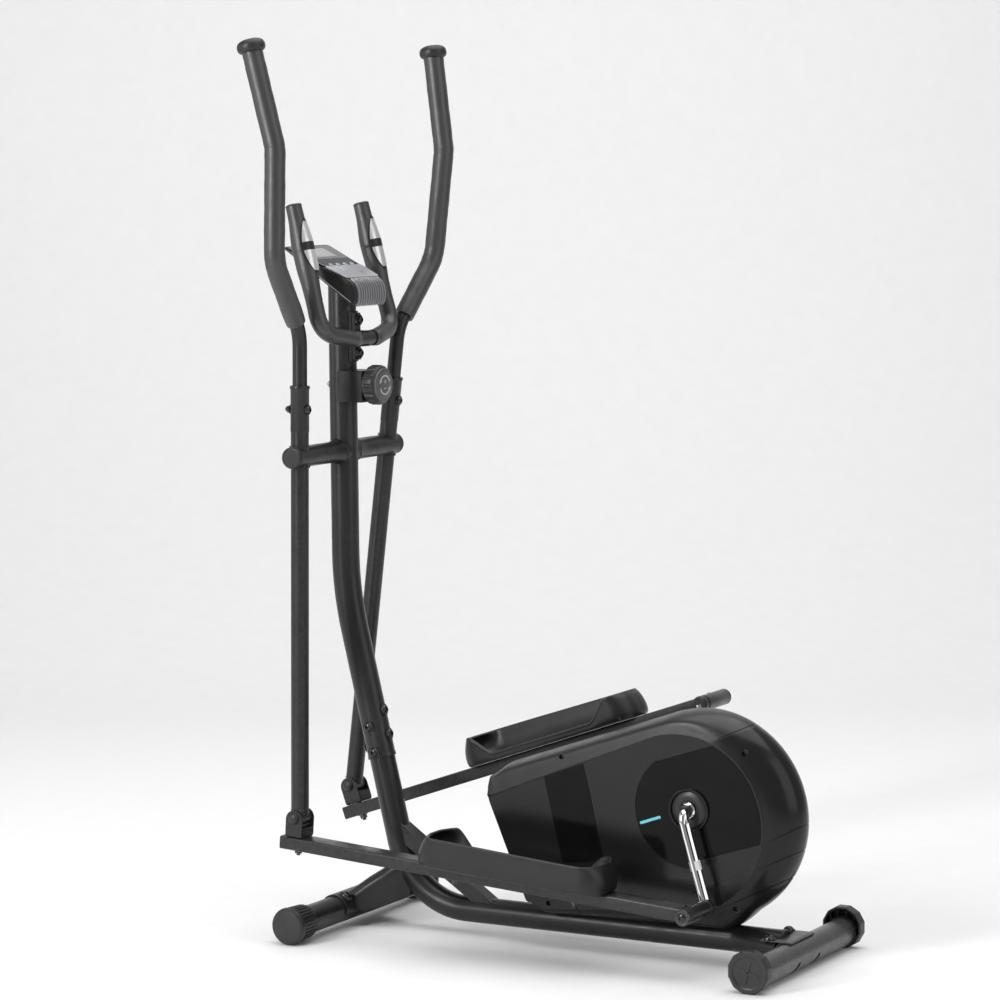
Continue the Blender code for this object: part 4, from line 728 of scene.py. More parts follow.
def add_drum(side_name, side):
    """The front end cap: a smooth domed drum with a ribbed skirt, which turns on the tube."""
    node = f"transport_wheel_{side_name}"
    low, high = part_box(node)
    radius = (high.z - low.z) / 2
    outer = side * max(abs(low.y), abs(high.y))
    matrix = place((FRONT_FOOT.x, outer, radius), (0, -side, 0))
    length = high.y - low.y
    bm = bmesh.new()
    ring_lathe(bm, [(0.0001, 0.0), (radius - 0.0100, 0.0002), (radius - 0.0045, 0.0012),
                    (radius - 0.0012, 0.0042), (radius, 0.0080), (radius, 0.0115), (radius - 0.0010, 0.0130),
                    (radius - 0.0030, 0.0150), (radius - 0.0042, length - 0.008), (radius - 0.0060, length),
                    (FOOT_RADIUS + 0.0004, length), (FOOT_RADIUS + 0.0004, 0.0140), (0.0001, 0.0140)],
               matrix, 64)
    ribs = 32
    for k in range(ribs):
        turn = matrix @ Matrix.Rotation(2 * math.pi * k / ribs, 4, "Z")
        verts = block(bm, (radius - 0.0050, -0.0013, 0.0125), (radius - 0.0004, 0.0013, length - 0.004), turn)
        tip = turn @ Vector((0, 0, length))
        for vert in verts:
            if abs((vert.co - tip).dot(matrix.to_3x3() @ Vector((0, 0, 1)))) < 0.006:
                spoke = vert.co - matrix @ Vector((0, 0, length - 0.004))
                vert.co -= spoke * 0.075
    piece(node + "_drum", bm, RUBBER, f"{side_name}_front_wheel", [node], angle=30)


def add_end_cap(side_name, side):
    """The rear levelling cap: twelve flats, a recessed face and ribs inside its mouth."""
    node = f"rear_leveller_{side_name}"
    low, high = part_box(node)
    flat = (high.z - low.z) / 2
    radius = flat / math.cos(math.pi / 12)
    outer = side * max(abs(low.y), abs(high.y))
    matrix = place((REAR_FOOT.x, outer, flat), (0, -side, 0), math.pi / 12)
    bm = bmesh.new()
    lathe(bm, [(0.0, 0.0016), (radius * 0.70, 0.0016), (radius * 0.78, 0.0002), (radius - 0.0030, 0.0),
               (radius - 0.0004, 0.0026), (radius, 0.0060), (radius - 0.0004, 0.0200),
               (radius - 0.0024, 0.0220), (radius - 0.0046, 0.0218), (radius - 0.0060, 0.0080),
               (0.0, 0.0060)], matrix, 12)
    cap = object_from(node + "_cap", bm, RUBBER, 20.0)
    settle(cap, f"{side_name}_rear_foot", [node])
    bm = bmesh.new()
    rod(bm, (REAR_FOOT.x, outer - side * 0.005, REAR_FOOT.z),
        (REAR_FOOT.x, outer - side * 0.024, REAR_FOOT.z), FOOT_RADIUS + 0.0024,
         FOOT_RADIUS + 0.0003, 40)
    centre = Vector((REAR_FOOT.x, 0, flat))
    for k in range(12):
        angle = math.radians(30 * k + 15)
        out = Vector((math.cos(angle), 0, math.sin(angle)))
        start = Vector((REAR_FOOT.x, 0, REAR_FOOT.z)) + out * (FOOT_RADIUS + 0.0020)
        end = centre + out * (radius - 0.0040)
        if (end - start).dot(out) < 0.002:
            continue
        web = out.cross(Vector((0, 1, 0))) * 0.0008
        ring = [start - web, start + web, end + web, end - web]
        bottom = [bm.verts.new(p + Vector((0, outer - side * 0.006, 0))) for p in ring]
        top = [bm.verts.new(p + Vector((0, outer - side * 0.0195, 0))) for p in ring]
        loft(bm, [bottom, top])
    piece(node + "_ribs", bm, RUBBER, f"{side_name}_rear_foot")
    bm = bmesh.new()
    for width, height in ((0.020, 0.0022), (0.0022, 0.020)):
        block(bm, (-width, -height, 0.0004), (width, height, 0.0030), matrix)
    piece(node + "_key", bm, RUBBER, f"{side_name}_rear_foot", bevel=0.0005)


# --- swing arms


def upper_path(side, steps=14):
    corners = [(0.0, 0.0, 0.040), (0.0, 0.0, 0.2188), (0.0072, 0.0930, 0.3459),
               (0.0074, 0.0905, 0.5445), (-0.0370, 0.0950, 0.712)]
    return rounded_path([(x, side * (ARM_Y + out), z) for x, out, z in corners], 0.075, steps)


def resample(path, spacing):
    """Extra points on long stretches, so that a radius can change along them."""
    dense = [path[0]]
    for start, end in zip(path, path[1:]):
        count = max(1, math.ceil((end - start).length / spacing))
        dense += [start.lerp(end, k / count) for k in range(1, count + 1)]
    return dense


def add_arm(side_name, side):
    body = f"{side_name}_arm"
    rig = arm_frame[side]
    y = side * ARM_Y
    bm = bmesh.new()
    rod(bm, (0, y, -ARM_LENGTH + 0.004), (0, y, 0.100), ARM_RADIUS, None, 40)
    hub = sorted((side * 0.0862, side * 0.1680))
    rod(bm, (0, hub[0], 0), (0, hub[1], 0), HUB_RADIUS, 0.0122, 48)
    for z in (0.0175, -0.0175):
        weld_ring(bm, Vector((0, y, z)), Vector((0, 0, 1)), ARM_RADIUS + 0.0003, 0.0022)
    rod(bm, (0, y - 0.0165, -ARM_LENGTH), (0, y + 0.0165, -ARM_LENGTH), 0.0145, 0.0063, 40)
    weld_ring(bm, Vector((0, y, -ARM_LENGTH + 0.0130)), Vector((0, 0, 1)), 0.0140, 0.0024)
    piece(f"{side_name}_arm_tube", bm, PAINT, body, [f"{side_name}_lower_arm"], matrix=rig)
    bm = bmesh.new()
    collar = [Vector((0, y, z)) for z in (0.044, 0.046, 0.1195, 0.1215, 0.1245, 0.1262)]
    tube(bm, collar, [0.0162, 0.0166, 0.0166, 0.0178, 0.0178, 0.0170], HANDLE_TUBE + 0.0004, 40)
    piece(f"{side_name}_arm_collar", bm, PAINT, body, matrix=rig)
    bm = bmesh.new()
    path = upper_path(side)
    tube(bm, path, HANDLE_TUBE, 0.0115, 40)
    piece(f"{side_name}_handle_tube", bm, PAINT, body, [f"{side_name}_upper_arm"], matrix=rig)
    add_arm_grip(side_name, side, path)
    bm = bmesh.new()
    bolt = Vector((0, y, 0.084))
    button_head(bm, place(bolt + Vector((0.0176, 0, 0)), (1, 0, 0)), 0.0072)
    cap_nut(bm, place(bolt - Vector((0.0176, 0, 0)), (-1, 0, 0)), 0.0070)
    tube(bm, [bolt - Vector((0.018, 0, 0)), bolt + Vector((0.018, 0, 0))], 0.0038, None, 16)
    piece(f"{side_name}_arm_clamp_bolt", bm, DARK_STEEL, body, [f"{side_name}_arm_bolt"], matrix=rig)
    add_pivot_cap(side_name, side)


def add_arm_grip(side_name, side, path):
    """The long foam sleeve, cut square at its lower end, and the mushroom cap on top."""
    body = f"{side_name}_arm"
    rig = arm_frame[side]
    shown = [point for point in resample(path, 0.006) if point.z > 0.2365]
    tip = path[-1] + (path[-1] - path[-2]).normalized() * 0.0010
    shown = [point for point in shown if point.z < tip.z - 0.002] + [tip]
    radii = []
    for i in range(len(shown)):
        end = min(i, 4)
        worn = 0.00018 * math.sin(i * 0.55 + side) + 0.00012 * math.sin(i * 1.37)
        radii.append(GRIP_RADIUS - 0.0009 * (1 - math.sin(end / 4 * math.pi / 2)) + worn)
    bm = bmesh.new()
    tube(bm, shown, radii, HANDLE_TUBE + 0.0003, 40)
    grip = piece(f"{side_name}_foam", bm, FOAM, body, [f"{side_name}_arm_grip"], matrix=rig, angle=50)
    direction = (path[-1] - path[-2]).normalized()
    bm = bmesh.new()
    lathe(bm, [(0.0, 0.0158), (0.0080, 0.0156), (0.0140, 0.0148), (0.0190, 0.0130), (0.0226, 0.0102),
               (0.0246, 0.0064), (0.0252, 0.0024), (0.0248, -0.0016), (0.0234, -0.0048), (0.0210, -0.0070),
               (0.0182, -0.0076), (0.0, -0.0076)], place(path[-1] + direction * 0.0040, direction), 48)
    piece(f"{side_name}_handle_cap", bm, RUBBER, body, [f"{side_name}_arm_cap"], matrix=rig,
          angle=50)


def add_pivot_cap(side_name, side):
    """The dimpled plug on the end of the cross axle, with its collar."""
    node = f"{side_name}_pivot_cap"
    inner = side * 0.1684
    matrix = place((PIVOT.x, inner, PIVOT.z), (0, side, 0))
    bm = bmesh.new()
    lathe(bm, [(0.0, 0.0102), (0.0150, 0.0102), (0.0166, 0.0112), (0.0184, 0.0104), (0.0192, 0.0082),
               (0.0192, 0.0060), (0.0184, 0.0052), (0.0184, 0.0040), (0.0192, 0.0032), (0.0192, 0.0),
               (0.0, 0.0)], matrix, 56)
    for k in range(5):
        count = max(1, 6 * k)
        for j in range(count):
            angle = 2 * math.pi * j / count
            spot = Vector((0.0030 * k * math.cos(angle), 0.0030 * k * math.sin(angle), 0.0100))
            lathe(bm, [(0.0, 0.0008), (0.0007, 0.0007), (0.0012, 0.0002), (0.0012, -0.0004), (0.0, -0.0004)],
                  matrix @ Matrix.Translation(spot), 8)
    piece(node + "_plug", bm, RUBBER, "frame", [node], angle=30)


# --- pedal bars


def add_bar(side_name, side):
    body = f"{side_name}_bar"
    rig = bar_frame[side]
    y = side * ARM_Y
    length = bar_length[side]
    bm = bmesh.new()
    half_w, half_h, corner, wall = BAR_HALF_WIDTH, BAR_HALF_HEIGHT, 0.0032, 0.0016
    rings = {}
    for inset in (0.0, wall):
        section = []
        reach = corner - inset * 0.7
        for sign_y, sign_z, first in QUADRANTS:
            centre = (sign_y * (half_w - inset - reach), sign_z * (half_h - inset - reach))
            section += arc(centre, reach, first, first + 90, 4)
        rings[inset] = [[bm.verts.new((x, y + a, -BAR_DROP + b)) for a, b in section]
                        for x in (-0.028, length - 0.004)]
    loft(bm, rings[0.0], close=False)
    loft(bm, rings[wall][::-1], close=False)
    for outer, inner in zip(rings[0.0], rings[wall]):
        loft(bm, [inner, outer], close=False)
    sleeve = [Vector((length, side * value, -BAR_DROP))
              for value in (SLEEVE_START, 0.0980, 0.1775, SLEEVE_END)]
    tube(bm, sleeve, [0.0132, 0.0140, 0.0140, 0.0132], 0.0083, 48)
    weld_ring(bm, Vector((length - 0.0120, y, -BAR_DROP)), Vector((1, 0, 0)), 0.0125, 0.0026)
    piece(f"{side_name}_bar_tube", bm, PAINT, body, [f"{side_name}_pedal_bar"], matrix=rig)
    bm = bmesh.new()
    block(bm, (-0.0272, y - 0.0178, -BAR_DROP - 0.0093), (-0.023, y + 0.0178, -BAR_DROP + 0.0093))
    piece(f"{side_name}_bar_plug", bm, RUBBER, body, matrix=rig, bevel=0.0008)
    add_bracket(side_name, side)
    add_pin(side_name, side)
    add_tray(side_name, side)


def add_bracket(side_name, side):
    """The bent U-bracket with its bolts and the ribbed rubber block behind the barrel."""
    body = f"{side_name}_bar"
    rig = bar_frame[side]
    y = side * ARM_Y
    base = BAR_TOP + 0.0003
    bm = bmesh.new()
    outer, inner, bend = 0.0205, 0.0176, 0.006
    section = arc((outer - bend, base + bend), bend, 0, -90, 6)
    section = section + [(-a, b) for a, b in reversed(section)]
    core = arc((inner - bend + 0.003, base + bend), bend - 0.003, 0, -90, 6)
    core = core + [(-a, b) for a, b in reversed(core)]
    prism(bm, section + core[::-1], -0.0170, 0.0170, lambda a, b, x: Vector((x, y + a, b)))
    for sign in (-1, 1):
        cheek = [(-0.0170, base + bend), (0.0170, base + bend)]
        cheek += arc((0.0, -0.0023), 0.0170, 0, 180, 20)
        prism(bm, cheek, sign * inner, sign * outer, lambda x, z, a: Vector((x, y + a, z)))
    piece(f"{side_name}_u_bracket", bm, PAINT, body, [f"{side_name}_bar_bracket"], matrix=rig,
          bevel=0.0004)
    bm = bmesh.new()
    for sign in (-1, 1):
        seat = Vector((0, y + sign * (outer + 0.0003), 0))
        lathe(bm, [(0.0, 0.0066), (0.0040, 0.0063), (0.0074, 0.0052), (0.0098, 0.0030), (0.0106, 0.0004),
                   (0.0106, 0.0), (0.0, 0.0)], place(seat, (0, sign, 0)), 32)
    rod(bm, (0, y - 0.0210, 0), (0, y + 0.0210, 0), 0.0060, None, 24)
    piece(f"{side_name}_pivot_caps", bm, RUBBER, body, [f"{side_name}_lower_pivot_bolt"], matrix=rig,
          angle=50)
    bm = bmesh.new()
    low = base + 0.0036
    block(bm, (0.0075, y - 0.0168, low), (0.0165, y + 0.0168, low + 0.0150))
    for k in range(5):
        z = low + 0.0014 + 0.0030 * k
        block(bm, (0.0080, y - 0.0172, z), (0.0178, y + 0.0172, z + 0.0016))
    piece(f"{side_name}_bracket_pad", bm, RUBBER, body, matrix=rig, bevel=0.0003)
    bm = bmesh.new()
    lathe(bm, [(0.0, 0.0012), (0.0095, 0.0012), (0.0095, 0.0), (0.0, 0.0)],
          place((0, y, BAR_UNDER), (0, 0, -1)), 24)
    stud_nut(bm, place((0, y, BAR_UNDER - 0.0010), (0, 0, -1)), 0.0074, 0.0040)
    lathe(bm, [(0.0, 0.0044), (0.0056, 0.0044), (0.0070, 0.0026), (0.0070, 0.0), (0.0, 0.0)],
          place((0, y, base + 0.0033), (0, 0, 1)), 6)
    rod(bm, (0, y, BAR_UNDER), (0, y, base + 0.004), 0.0040, None, 16)
    piece(f"{side_name}_bracket_fastener", bm, DARK_STEEL, body, [f"{side_name}_bracket_bolt"],
          matrix=rig)


def add_pin(side_name, side):
    """The crank pin in its sleeve, with a socket screw in a black washer."""
    body = f"{side_name}_bar"
    rig = bar_frame[side]
    end = Vector((bar_length[side], side * SLEEVE_END, -BAR_DROP))
    out = Vector((0, side, 0))
    bm = bmesh.new()
    rod(bm, (end.x, side * SLEEVE_START, end.z), (end.x, side * 0.1806, end.z), 0.0080, None, 32)
    button_head(bm, place(end + out * 0.0024, out), 0.0092, 0.0042)
    piece(f"{side_name}_pin_screw", bm, DARK_STEEL, body, [f"{side_name}_pin_bolt"], matrix=rig)
    bm = bmesh.new()
    ring_lathe(bm, [(0.0092, -0.0010), (0.0138, -0.0010), (0.0142, 0.0010), (0.0134, 0.0024),
                    (0.0104, 0.0020), (0.0092, 0.0008)], place(end, out), 40)
    piece(f"{side_name}_pin_washer", bm, DARK_STEEL, body, matrix=rig)


TRAY_FRONT = 0.262
TRAY_REAR = 0.632
TRAY_INNER = 0.098
TRAY_OUTER = 0.207
TRAY_WALL = 0.0035
TRAY_CORNER = 0.042


def ease(value, start, end):
    share = min(max((value - start) / (end - start), 0.0), 1.0)
    return share * share * (3 - 2 * share)


def tray_height(along, across):
    """Wall height round the tray; across runs from 0 at the inner side to 1 outside."""
    low_side = 0.0118
    full = 0.048 + 0.004 * ease(along, TRAY_REAR, TRAY_FRONT)
    toe = 1 - ease(along, TRAY_FRONT + 0.030, TRAY_FRONT + 0.082)
    heel = ease(along, TRAY_REAR - 0.086, TRAY_REAR - 0.036)
    outside = ease(across, 0.35, 0.75)
    return low_side + (full - low_side) * max(toe, heel, outside)


def tray_loop(inset, corner_steps=10, spacing=0.005):
    """The rounded outline in plan, evenly dense, as (along, across) in metres."""
    radius = TRAY_CORNER - inset
    outline = []
    for s, y, quarter in ((TRAY_REAR - TRAY_CORNER, TRAY_OUTER - TRAY_CORNER, 0),
                          (TRAY_FRONT + TRAY_CORNER, TRAY_OUTER - TRAY_CORNER, 90),
                          (TRAY_FRONT + TRAY_CORNER, TRAY_INNER + TRAY_CORNER, 180),
                          (TRAY_REAR - TRAY_CORNER, TRAY_INNER + TRAY_CORNER, 270)):
        outline += arc((s, y), radius, quarter, quarter + 90, corner_steps)
    dense = []
    for k, start in enumerate(outline):
        end = outline[(k + 1) % len(outline)]
        span = math.hypot(end[0] - start[0], end[1] - start[1])
        count = max(1, round(span / spacing))
        dense += [(start[0] + (end[0] - start[0]) * i / count, start[1] + (end[1] - start[1]) * i / count)
                  for i in range(count)]
    return dense


def add_tray(side_name, side):
    """The foot tray: flared walls with a rolled lip, round floor edge, and ribs across the tread."""
    body = f"{side_name}_bar"
    rig = bar_frame[side]
    floor = BAR_TOP + 0.0004
    bm = bmesh.new()
    loop = tray_loop(0.0)
    centre_s = (TRAY_FRONT + TRAY_REAR) / 2
    centre_y = (TRAY_INNER + TRAY_OUTER) / 2

    def ring(inset, level, rim=None):
        """One loop of vertices; level is a share of the wall height, rim an absolute rise."""
        verts = []
        half_s = (TRAY_REAR - TRAY_FRONT) / 2
        half_y = (TRAY_OUTER - TRAY_INNER) / 2
        for s, y in loop:
            height = tray_height(s, (y - TRAY_INNER) / (TRAY_OUTER - TRAY_INNER))
            end = ease(abs(s - centre_s), half_s - TRAY_CORNER, half_s)
            slope = 1 - math.sqrt(max(0.0, 1 - (0.97 * level) ** 2))
            lean = (0.024 if s < centre_s else 0.019) * end * slope
            lean *= ease(height, 0.015, 0.045)
            s_in = centre_s + (s - centre_s) * (1 - (inset + lean) / half_s)
            y_in = centre_y + (y - centre_y) * (1 - (inset + 0.25 * lean) / half_y)
            z = floor + (height * level if rim is None else height + rim)
            verts.append(bm.verts.new((s_in, side * y_in, z)))
        return verts

    wall = TRAY_WALL
    profile = [(0.0120, 0.0), (0.0050, 0.0), (0.0022, 0.06), (0.0006, 0.20), (0.0, 0.38), (0.0, 0.55),
               (0.0, 0.70), (0.0, 0.82), (-0.0003, 0.92), (-0.0008, 1.0, -0.0004), (-0.0002, 1.0, 0.0012),
               (wall * 0.5, 1.0, 0.0018), (wall - 0.0002, 1.0, 0.0010), (wall + 0.0006, 1.0, -0.0012),
               (wall + 0.0014, 0.84), (wall + 0.0030, 0.66), (wall + 0.0056, 0.48), (0.0128, 0.34),
               (0.0172, 0.24), (0.0224, 0.17), (0.0280, 0.135)]
    rings = [ring(*step) for step in profile]
    loft(bm, rings)
    piece(f"{side_name}_tray", bm, GRAINED, body, [f"{side_name}_foot_tray"], matrix=rig,
          angle=60)
    bm = bmesh.new()
    count = 52
    for k in range(count):
        s = TRAY_FRONT + 0.024 + (TRAY_REAR - TRAY_FRONT - 0.048) * k / (count - 1)
        edge = max(0.0, 0.020 - min(s - TRAY_FRONT, TRAY_REAR - s)) * 0.9
        low_wall = TRAY_FRONT + 0.074 < s < TRAY_REAR - 0.078
        first = TRAY_INNER + (0.0022 if low_wall else 0.0055 + edge)
        ends = sorted((side * first, side * (TRAY_OUTER - 0.012 - edge)))
        top = floor + (0.0150 if low_wall else 0.0112)
        block(bm, (s - 0.0012, ends[0], floor + 0.0036), (s + 0.0012, ends[1], top))
    for share in (0.05, 0.35, 0.65, 0.93):
        y = side * (TRAY_INNER + 0.008 + share * 0.090)
        block(bm, (TRAY_FRONT + 0.022, y - 0.0010, floor + 0.0036),
              (TRAY_REAR - 0.022, y + 0.0010, floor + 0.0104))
    piece(f"{side_name}_tread_ribs", bm, TREAD, body, matrix=rig, bevel=0.0004)
    bm = bmesh.new()
    for s in (0.323, 0.560):
        stud_nut(bm, place((s, side * ARM_Y, BAR_UNDER), (0, 0, -1)), 0.0066, 0.0055)
        lathe(bm, [(0.0, 0.0011), (0.0088, 0.0011), (0.0088, 0.0), (0.0, 0.0)],
              place((s, side * ARM_Y, BAR_UNDER + 0.0002), (0, 0, -1)), 24)
        lathe(bm, [(0.0, 0.0026), (0.0052, 0.0022), (0.0068, 0.0), (0.0, 0.0)],
              place((s, side * ARM_Y, floor + 0.0116), (0, 0, 1)), 20)
    piece(f"{side_name}_tray_bolts", bm, DARK_STEEL, body, matrix=rig)


# --- fixed handlebar


def loop_path(steps=14):
    half = [(0.040, LOOP.x, LOOP.z), (0.1220, MX + 0.031, 1.078), (0.1155, MX - 0.0070, 1.222),
            (0.1140, MX - 0.0268, 1.3005)]
    right = [Vector((x, y, z)) for y, x, z in half]
    left = [Vector((point.x, -point.y, point.z)) for point in right]
    return rounded_path([*reversed(left), *right], 0.038, steps)


SENSOR_LOW = 1.186
SENSOR_HIGH = 1.272


def grip_swell(z):
    """How much the moulded grip swells around the sensors and thins towards its end."""
    rise = ease(z, SENSOR_LOW - 0.050, SENSOR_LOW + 0.020)
    fall = ease(z, SENSOR_HIGH - 0.040, SENSOR_HIGH + 0.006)
    return 0.0042 * (rise * (1 - fall)) - 0.0003 * ease(z, SENSOR_HIGH - 0.010, SENSOR_HIGH + 0.010)


def add_handlebar():
    path = loop_path()
    bm = bmesh.new()
    tube(bm, path, LOOP_RADIUS, 0.0110, 40)
    piece("handlebar_tube", bm, PAINT, "frame", ["fixed_handlebar"])
    for side_name, side in SIDES.items():
        half = [point for point in resample(path, 0.006) if side * point.y > 0.0262]
        if side < 0:
            half.reverse()
        direction = (half[-1] - half[-2]).normalized()
        start = Vector((half[0].x, side * 0.0262, half[0].z))
        half = [start, *half[1:]]
        radii = []
        for i in range(len(half)):
            ends = min(i, len(half) - 1 - i, 3)
            rounding = 0.0007 * (1 - ends / 3)
            radii.append(LOOP_FOAM + grip_swell(half[i].z) - rounding + 0.00012 * math.sin(0.9 * i))
        bm = bmesh.new()
        tube(bm, half, radii, LOOP_RADIUS + 0.0003, 40)
        grip = piece(f"{side_name}_loop_foam", bm, FOAM, "frame", [f"handlebar_grip_{side_name}"],
                     angle=50)
        bm = bmesh.new()
        lathe(bm, [(0.0, 0.0042), (0.0100, 0.0040), (0.0136, 0.0030), (0.0148, 0.0008), (0.0146, 0.0),
                   (0.0112, 0.0), (0.0108, -0.0100), (0.0, -0.0100)], place(half[-1], direction), 40)
        piece(f"{side_name}_loop_plug", bm, RUBBER, "frame", angle=50)
        add_sensor(side_name, side)


def leaf(bm, low, high, facing, radius, thick, span, start, end):
    """A leaf-shaped skin on a round grip between two shares of its length."""
    along = (high - low).normalized()
    out = (facing - along * facing.dot(along)).normalized()
    across = along.cross(out)
    rows, columns = 24, 14
    skins = {}
    for depth in (radius, radius + thick):
        skins[depth] = []
        for i in range(rows + 1):
            share = start + (end - start) * i / rows
            reach = span * max(0.04, math.sin(math.pi * (0.015 + 0.97 * share))) ** 0.62
            row = []
            for j in range(columns + 1):
                angle = math.radians(reach * (2 * j / columns - 1))
                centre = low.lerp(high, share)
                reach_out = depth + grip_swell(centre.z)
                point = centre + (out * math.cos(angle) + across * math.sin(angle)) * reach_out
                row.append(bm.verts.new(point))
            skins[depth].append(row)
    inner, outer = skins[radius], skins[radius + thick]
    for i in range(rows):
        for j in range(columns):
            bm.faces.new((outer[i][j], outer[i][j + 1], outer[i + 1][j + 1], outer[i + 1][j]))
            bm.faces.new((inner[i][j], inner[i + 1][j], inner[i + 1][j + 1], inner[i][j + 1]))
        bm.faces.new((inner[i][0], outer[i][0], outer[i + 1][0], inner[i + 1][0]))
        bm.faces.new((inner[i][-1], inner[i + 1][-1], outer[i + 1][-1], outer[i][-1]))
    for j in range(columns):
        bm.faces.new((inner[0][j], inner[0][j + 1], outer[0][j + 1], outer[0][j]))
        bm.faces.new((inner[-1][j], outer[-1][j], outer[-1][j + 1], inner[-1][j + 1]))


def add_sensor(side_name, side):
    """Two contact plates in a dark leaf-shaped seat, with a dark bar between them."""
    low = Vector((MX + 0.0045, side * 0.1160, SENSOR_LOW - 0.006))
    high = Vector((MX - 0.0195, side * 0.1146, SENSOR_HIGH + 0.004))
    facing = Vector((1.0, 0.0, 0.0))
    bm = bmesh.new()
    leaf(bm, low, high, facing, LOOP_FOAM - 0.0008, 0.0012, 72, 0.0, 1.0)
    leaf(bm, low, high, facing, LOOP_FOAM - 0.0004, 0.0014, 62, 0.43, 0.57)
    piece(f"{side_name}_sensor_seat", bm, GRAINED, "frame")
    bm = bmesh.new()
    leaf(bm, low, high, facing, LOOP_FOAM - 0.0004, 0.0013, 58, 0.045, 0.425)
    leaf(bm, low, high, facing, LOOP_FOAM - 0.0004, 0.0013, 58, 0.575, 0.955)
    piece(f"{side_name}_sensor_plates", bm, CONTACT, "frame", [f"pulse_sensor_{side_name}"])


# --- console


def console_half(x):
    """Half width of the console at a place along it."""
    share = (x - (MX - 0.076)) / 0.139
    return 0.074 - 0.020 * min(max(share, 0.0), 1.0)


CONSOLE_FACE = Matrix.Translation(FACE_FRONT) @ Matrix.Rotation(FACE_SLOPE, 4, "Y")


def face_outline(start, end, margin, corner):
    """A tapering outline on the sloping face, in (down, across) metres, with round corners."""
    shape = []
    for s, sign_s, sign_y, first in ((end, -1, 1, 0), (start, 1, 1, 90),
                                     (start, 1, -1, 180), (end, -1, -1, 270)):
        half = console_half(FACE_FRONT.x + s * math.cos(FACE_SLOPE)) - margin
        shape += arc((s + sign_s * corner, sign_y * (half - corner)), corner, first, first + 90, 5)
    return shape


def face_plate(name, outline, low, high, mat, bevel, nodes=()):
    """A plate on the sloping face, between two heights over it."""
    bm = bmesh.new()
    prism(bm, outline, low, high, lambda a, b, h: CONSOLE_FACE @ Vector((a, b, h)))
    piece(name, bm, mat, "frame", nodes, bevel=bevel)


def add_console():
    x = MX
    lower = [(x - 0.076, 1.2252), (x - 0.076, 1.2275), (x + 0.0150, 1.1850), (x + 0.0450, 1.1712),
             (x + 0.0545, 1.1640), (x + 0.0598, 1.1520), (x + 0.0613, 1.1400), (x + 0.0596, 1.1285),
             (x + 0.0540, 1.1238)]
    bm = bmesh.new()
    shares = (-1.0, -0.985, -0.95, 0.95, 0.985, 1.0)
    drops = (0.0030, 0.0010, 0.0, 0.0, 0.0010, 0.0030)
    rings = []
    centre = Vector((x + 0.010, 0.0, 1.170))
    for share, drop in zip(shares, drops):
        ring = []
        for px, pz in lower:
            toward = Vector((centre.x - px, 0.0, centre.z - pz)).normalized() * drop
            ring.append(bm.verts.new((px + toward.x, share * console_half(px), pz + toward.z)))
        rings.append(ring)
    loft(bm, rings)
    piece("console_case", bm, GRAINED, "frame", ["console_body"], angle=28, bevel=0.0008)
    face_plate("console_bezel", face_outline(0.0012, 0.0860, 0.0012, 0.006), -0.0012, 0.0006,
               PIANO, 0.0004)
    face_plate("console_panel", face_outline(0.0050, 0.0570, 0.0060, 0.005), 0.0002, 0.0012,
               PANEL, 0.0003, ["console_display"])
    face_plate("console_keys_trim", face_outline(0.0560, 0.0895, 0.0040, 0.014), 0.0002, 0.0010,
               SILVER, 0.0003)
    face_plate("console_keys_plate", face_outline(0.0572, 0.0862, 0.0056, 0.013), 0.0006, 0.0015,
               PIANO, 0.0003)
    add_display()
    add_buttons()
    add_console_rear()


def add_display():
    """The display window: a silver frame round a pale glass with generic seven-segment digits."""
    def window(half, start, end):
        return [(start, -half), (end, -half), (end, half), (start, half)]

    face_plate("lcd_frame", window(0.034, 0.0165, 0.0500), 0.0010, 0.0016,
               SILVER, 0.0004)
    face_plate("lcd_glass", window(0.0315, 0.0190, 0.0475), 0.0014, 0.0019,
               GLASS_GREY, 0.0002)
    bm = bmesh.new()
    for digit in range(4):
        centre_y = -0.018 + 0.012 * digit
        for s, y, half_s, half_y in ((0.0265, 0.0, 0.0005, 0.0030), (0.0400, 0.0, 0.0005, 0.0030),
                                     (0.0332, 0.0, 0.0005, 0.0030), (0.0298, 0.0036, 0.0028, 0.0005),
                                     (0.0298, -0.0036, 0.0028, 0.0005), (0.0366, 0.0036, 0.0028, 0.0005),
                                     (0.0366, -0.0036, 0.0028, 0.0005)):
            if digit == 0 and (y < 0 or half_y > 0.002):
                continue
            low = Vector((s - half_s, centre_y + y - half_y, 0.0018))
            high = Vector((s + half_s, centre_y + y + half_y, 0.0020))
            block(bm, low, high, CONSOLE_FACE)
    piece("lcd_digits", bm, PRINT, "frame")


def add_buttons():
    for number in range(4):
        node = f"console_button_{number + 1}"
        body = f"button_{number + 1}"
        local = CONSOLE_FACE.inverted() @ middle(node)
        seat = CONSOLE_FACE @ Matrix.Translation((local.x, local.y, 0.0))
        bm = bmesh.new()
        lathe(bm, [(0.0034, 0.0030), (0.0042, 0.0031), (0.0050, 0.0026), (0.0052, 0.0016), (0.0052, -0.0020),
                   (0.0034, -0.0020), (0.0034, 0.0030)], seat, 32)
        bmesh.ops.remove_doubles(bm, verts=bm.verts, dist=1e-6)
        piece(node + "_ring", bm, SILVER, body, [node])
        bm = bmesh.new()
        lathe(bm, [(0.0, 0.0034), (0.0018, 0.0033), (0.0033, 0.0027), (0.0033, 0.0), (0.0, 0.0)], seat, 24)
        piece(node + "_face", bm, BLUE, body)


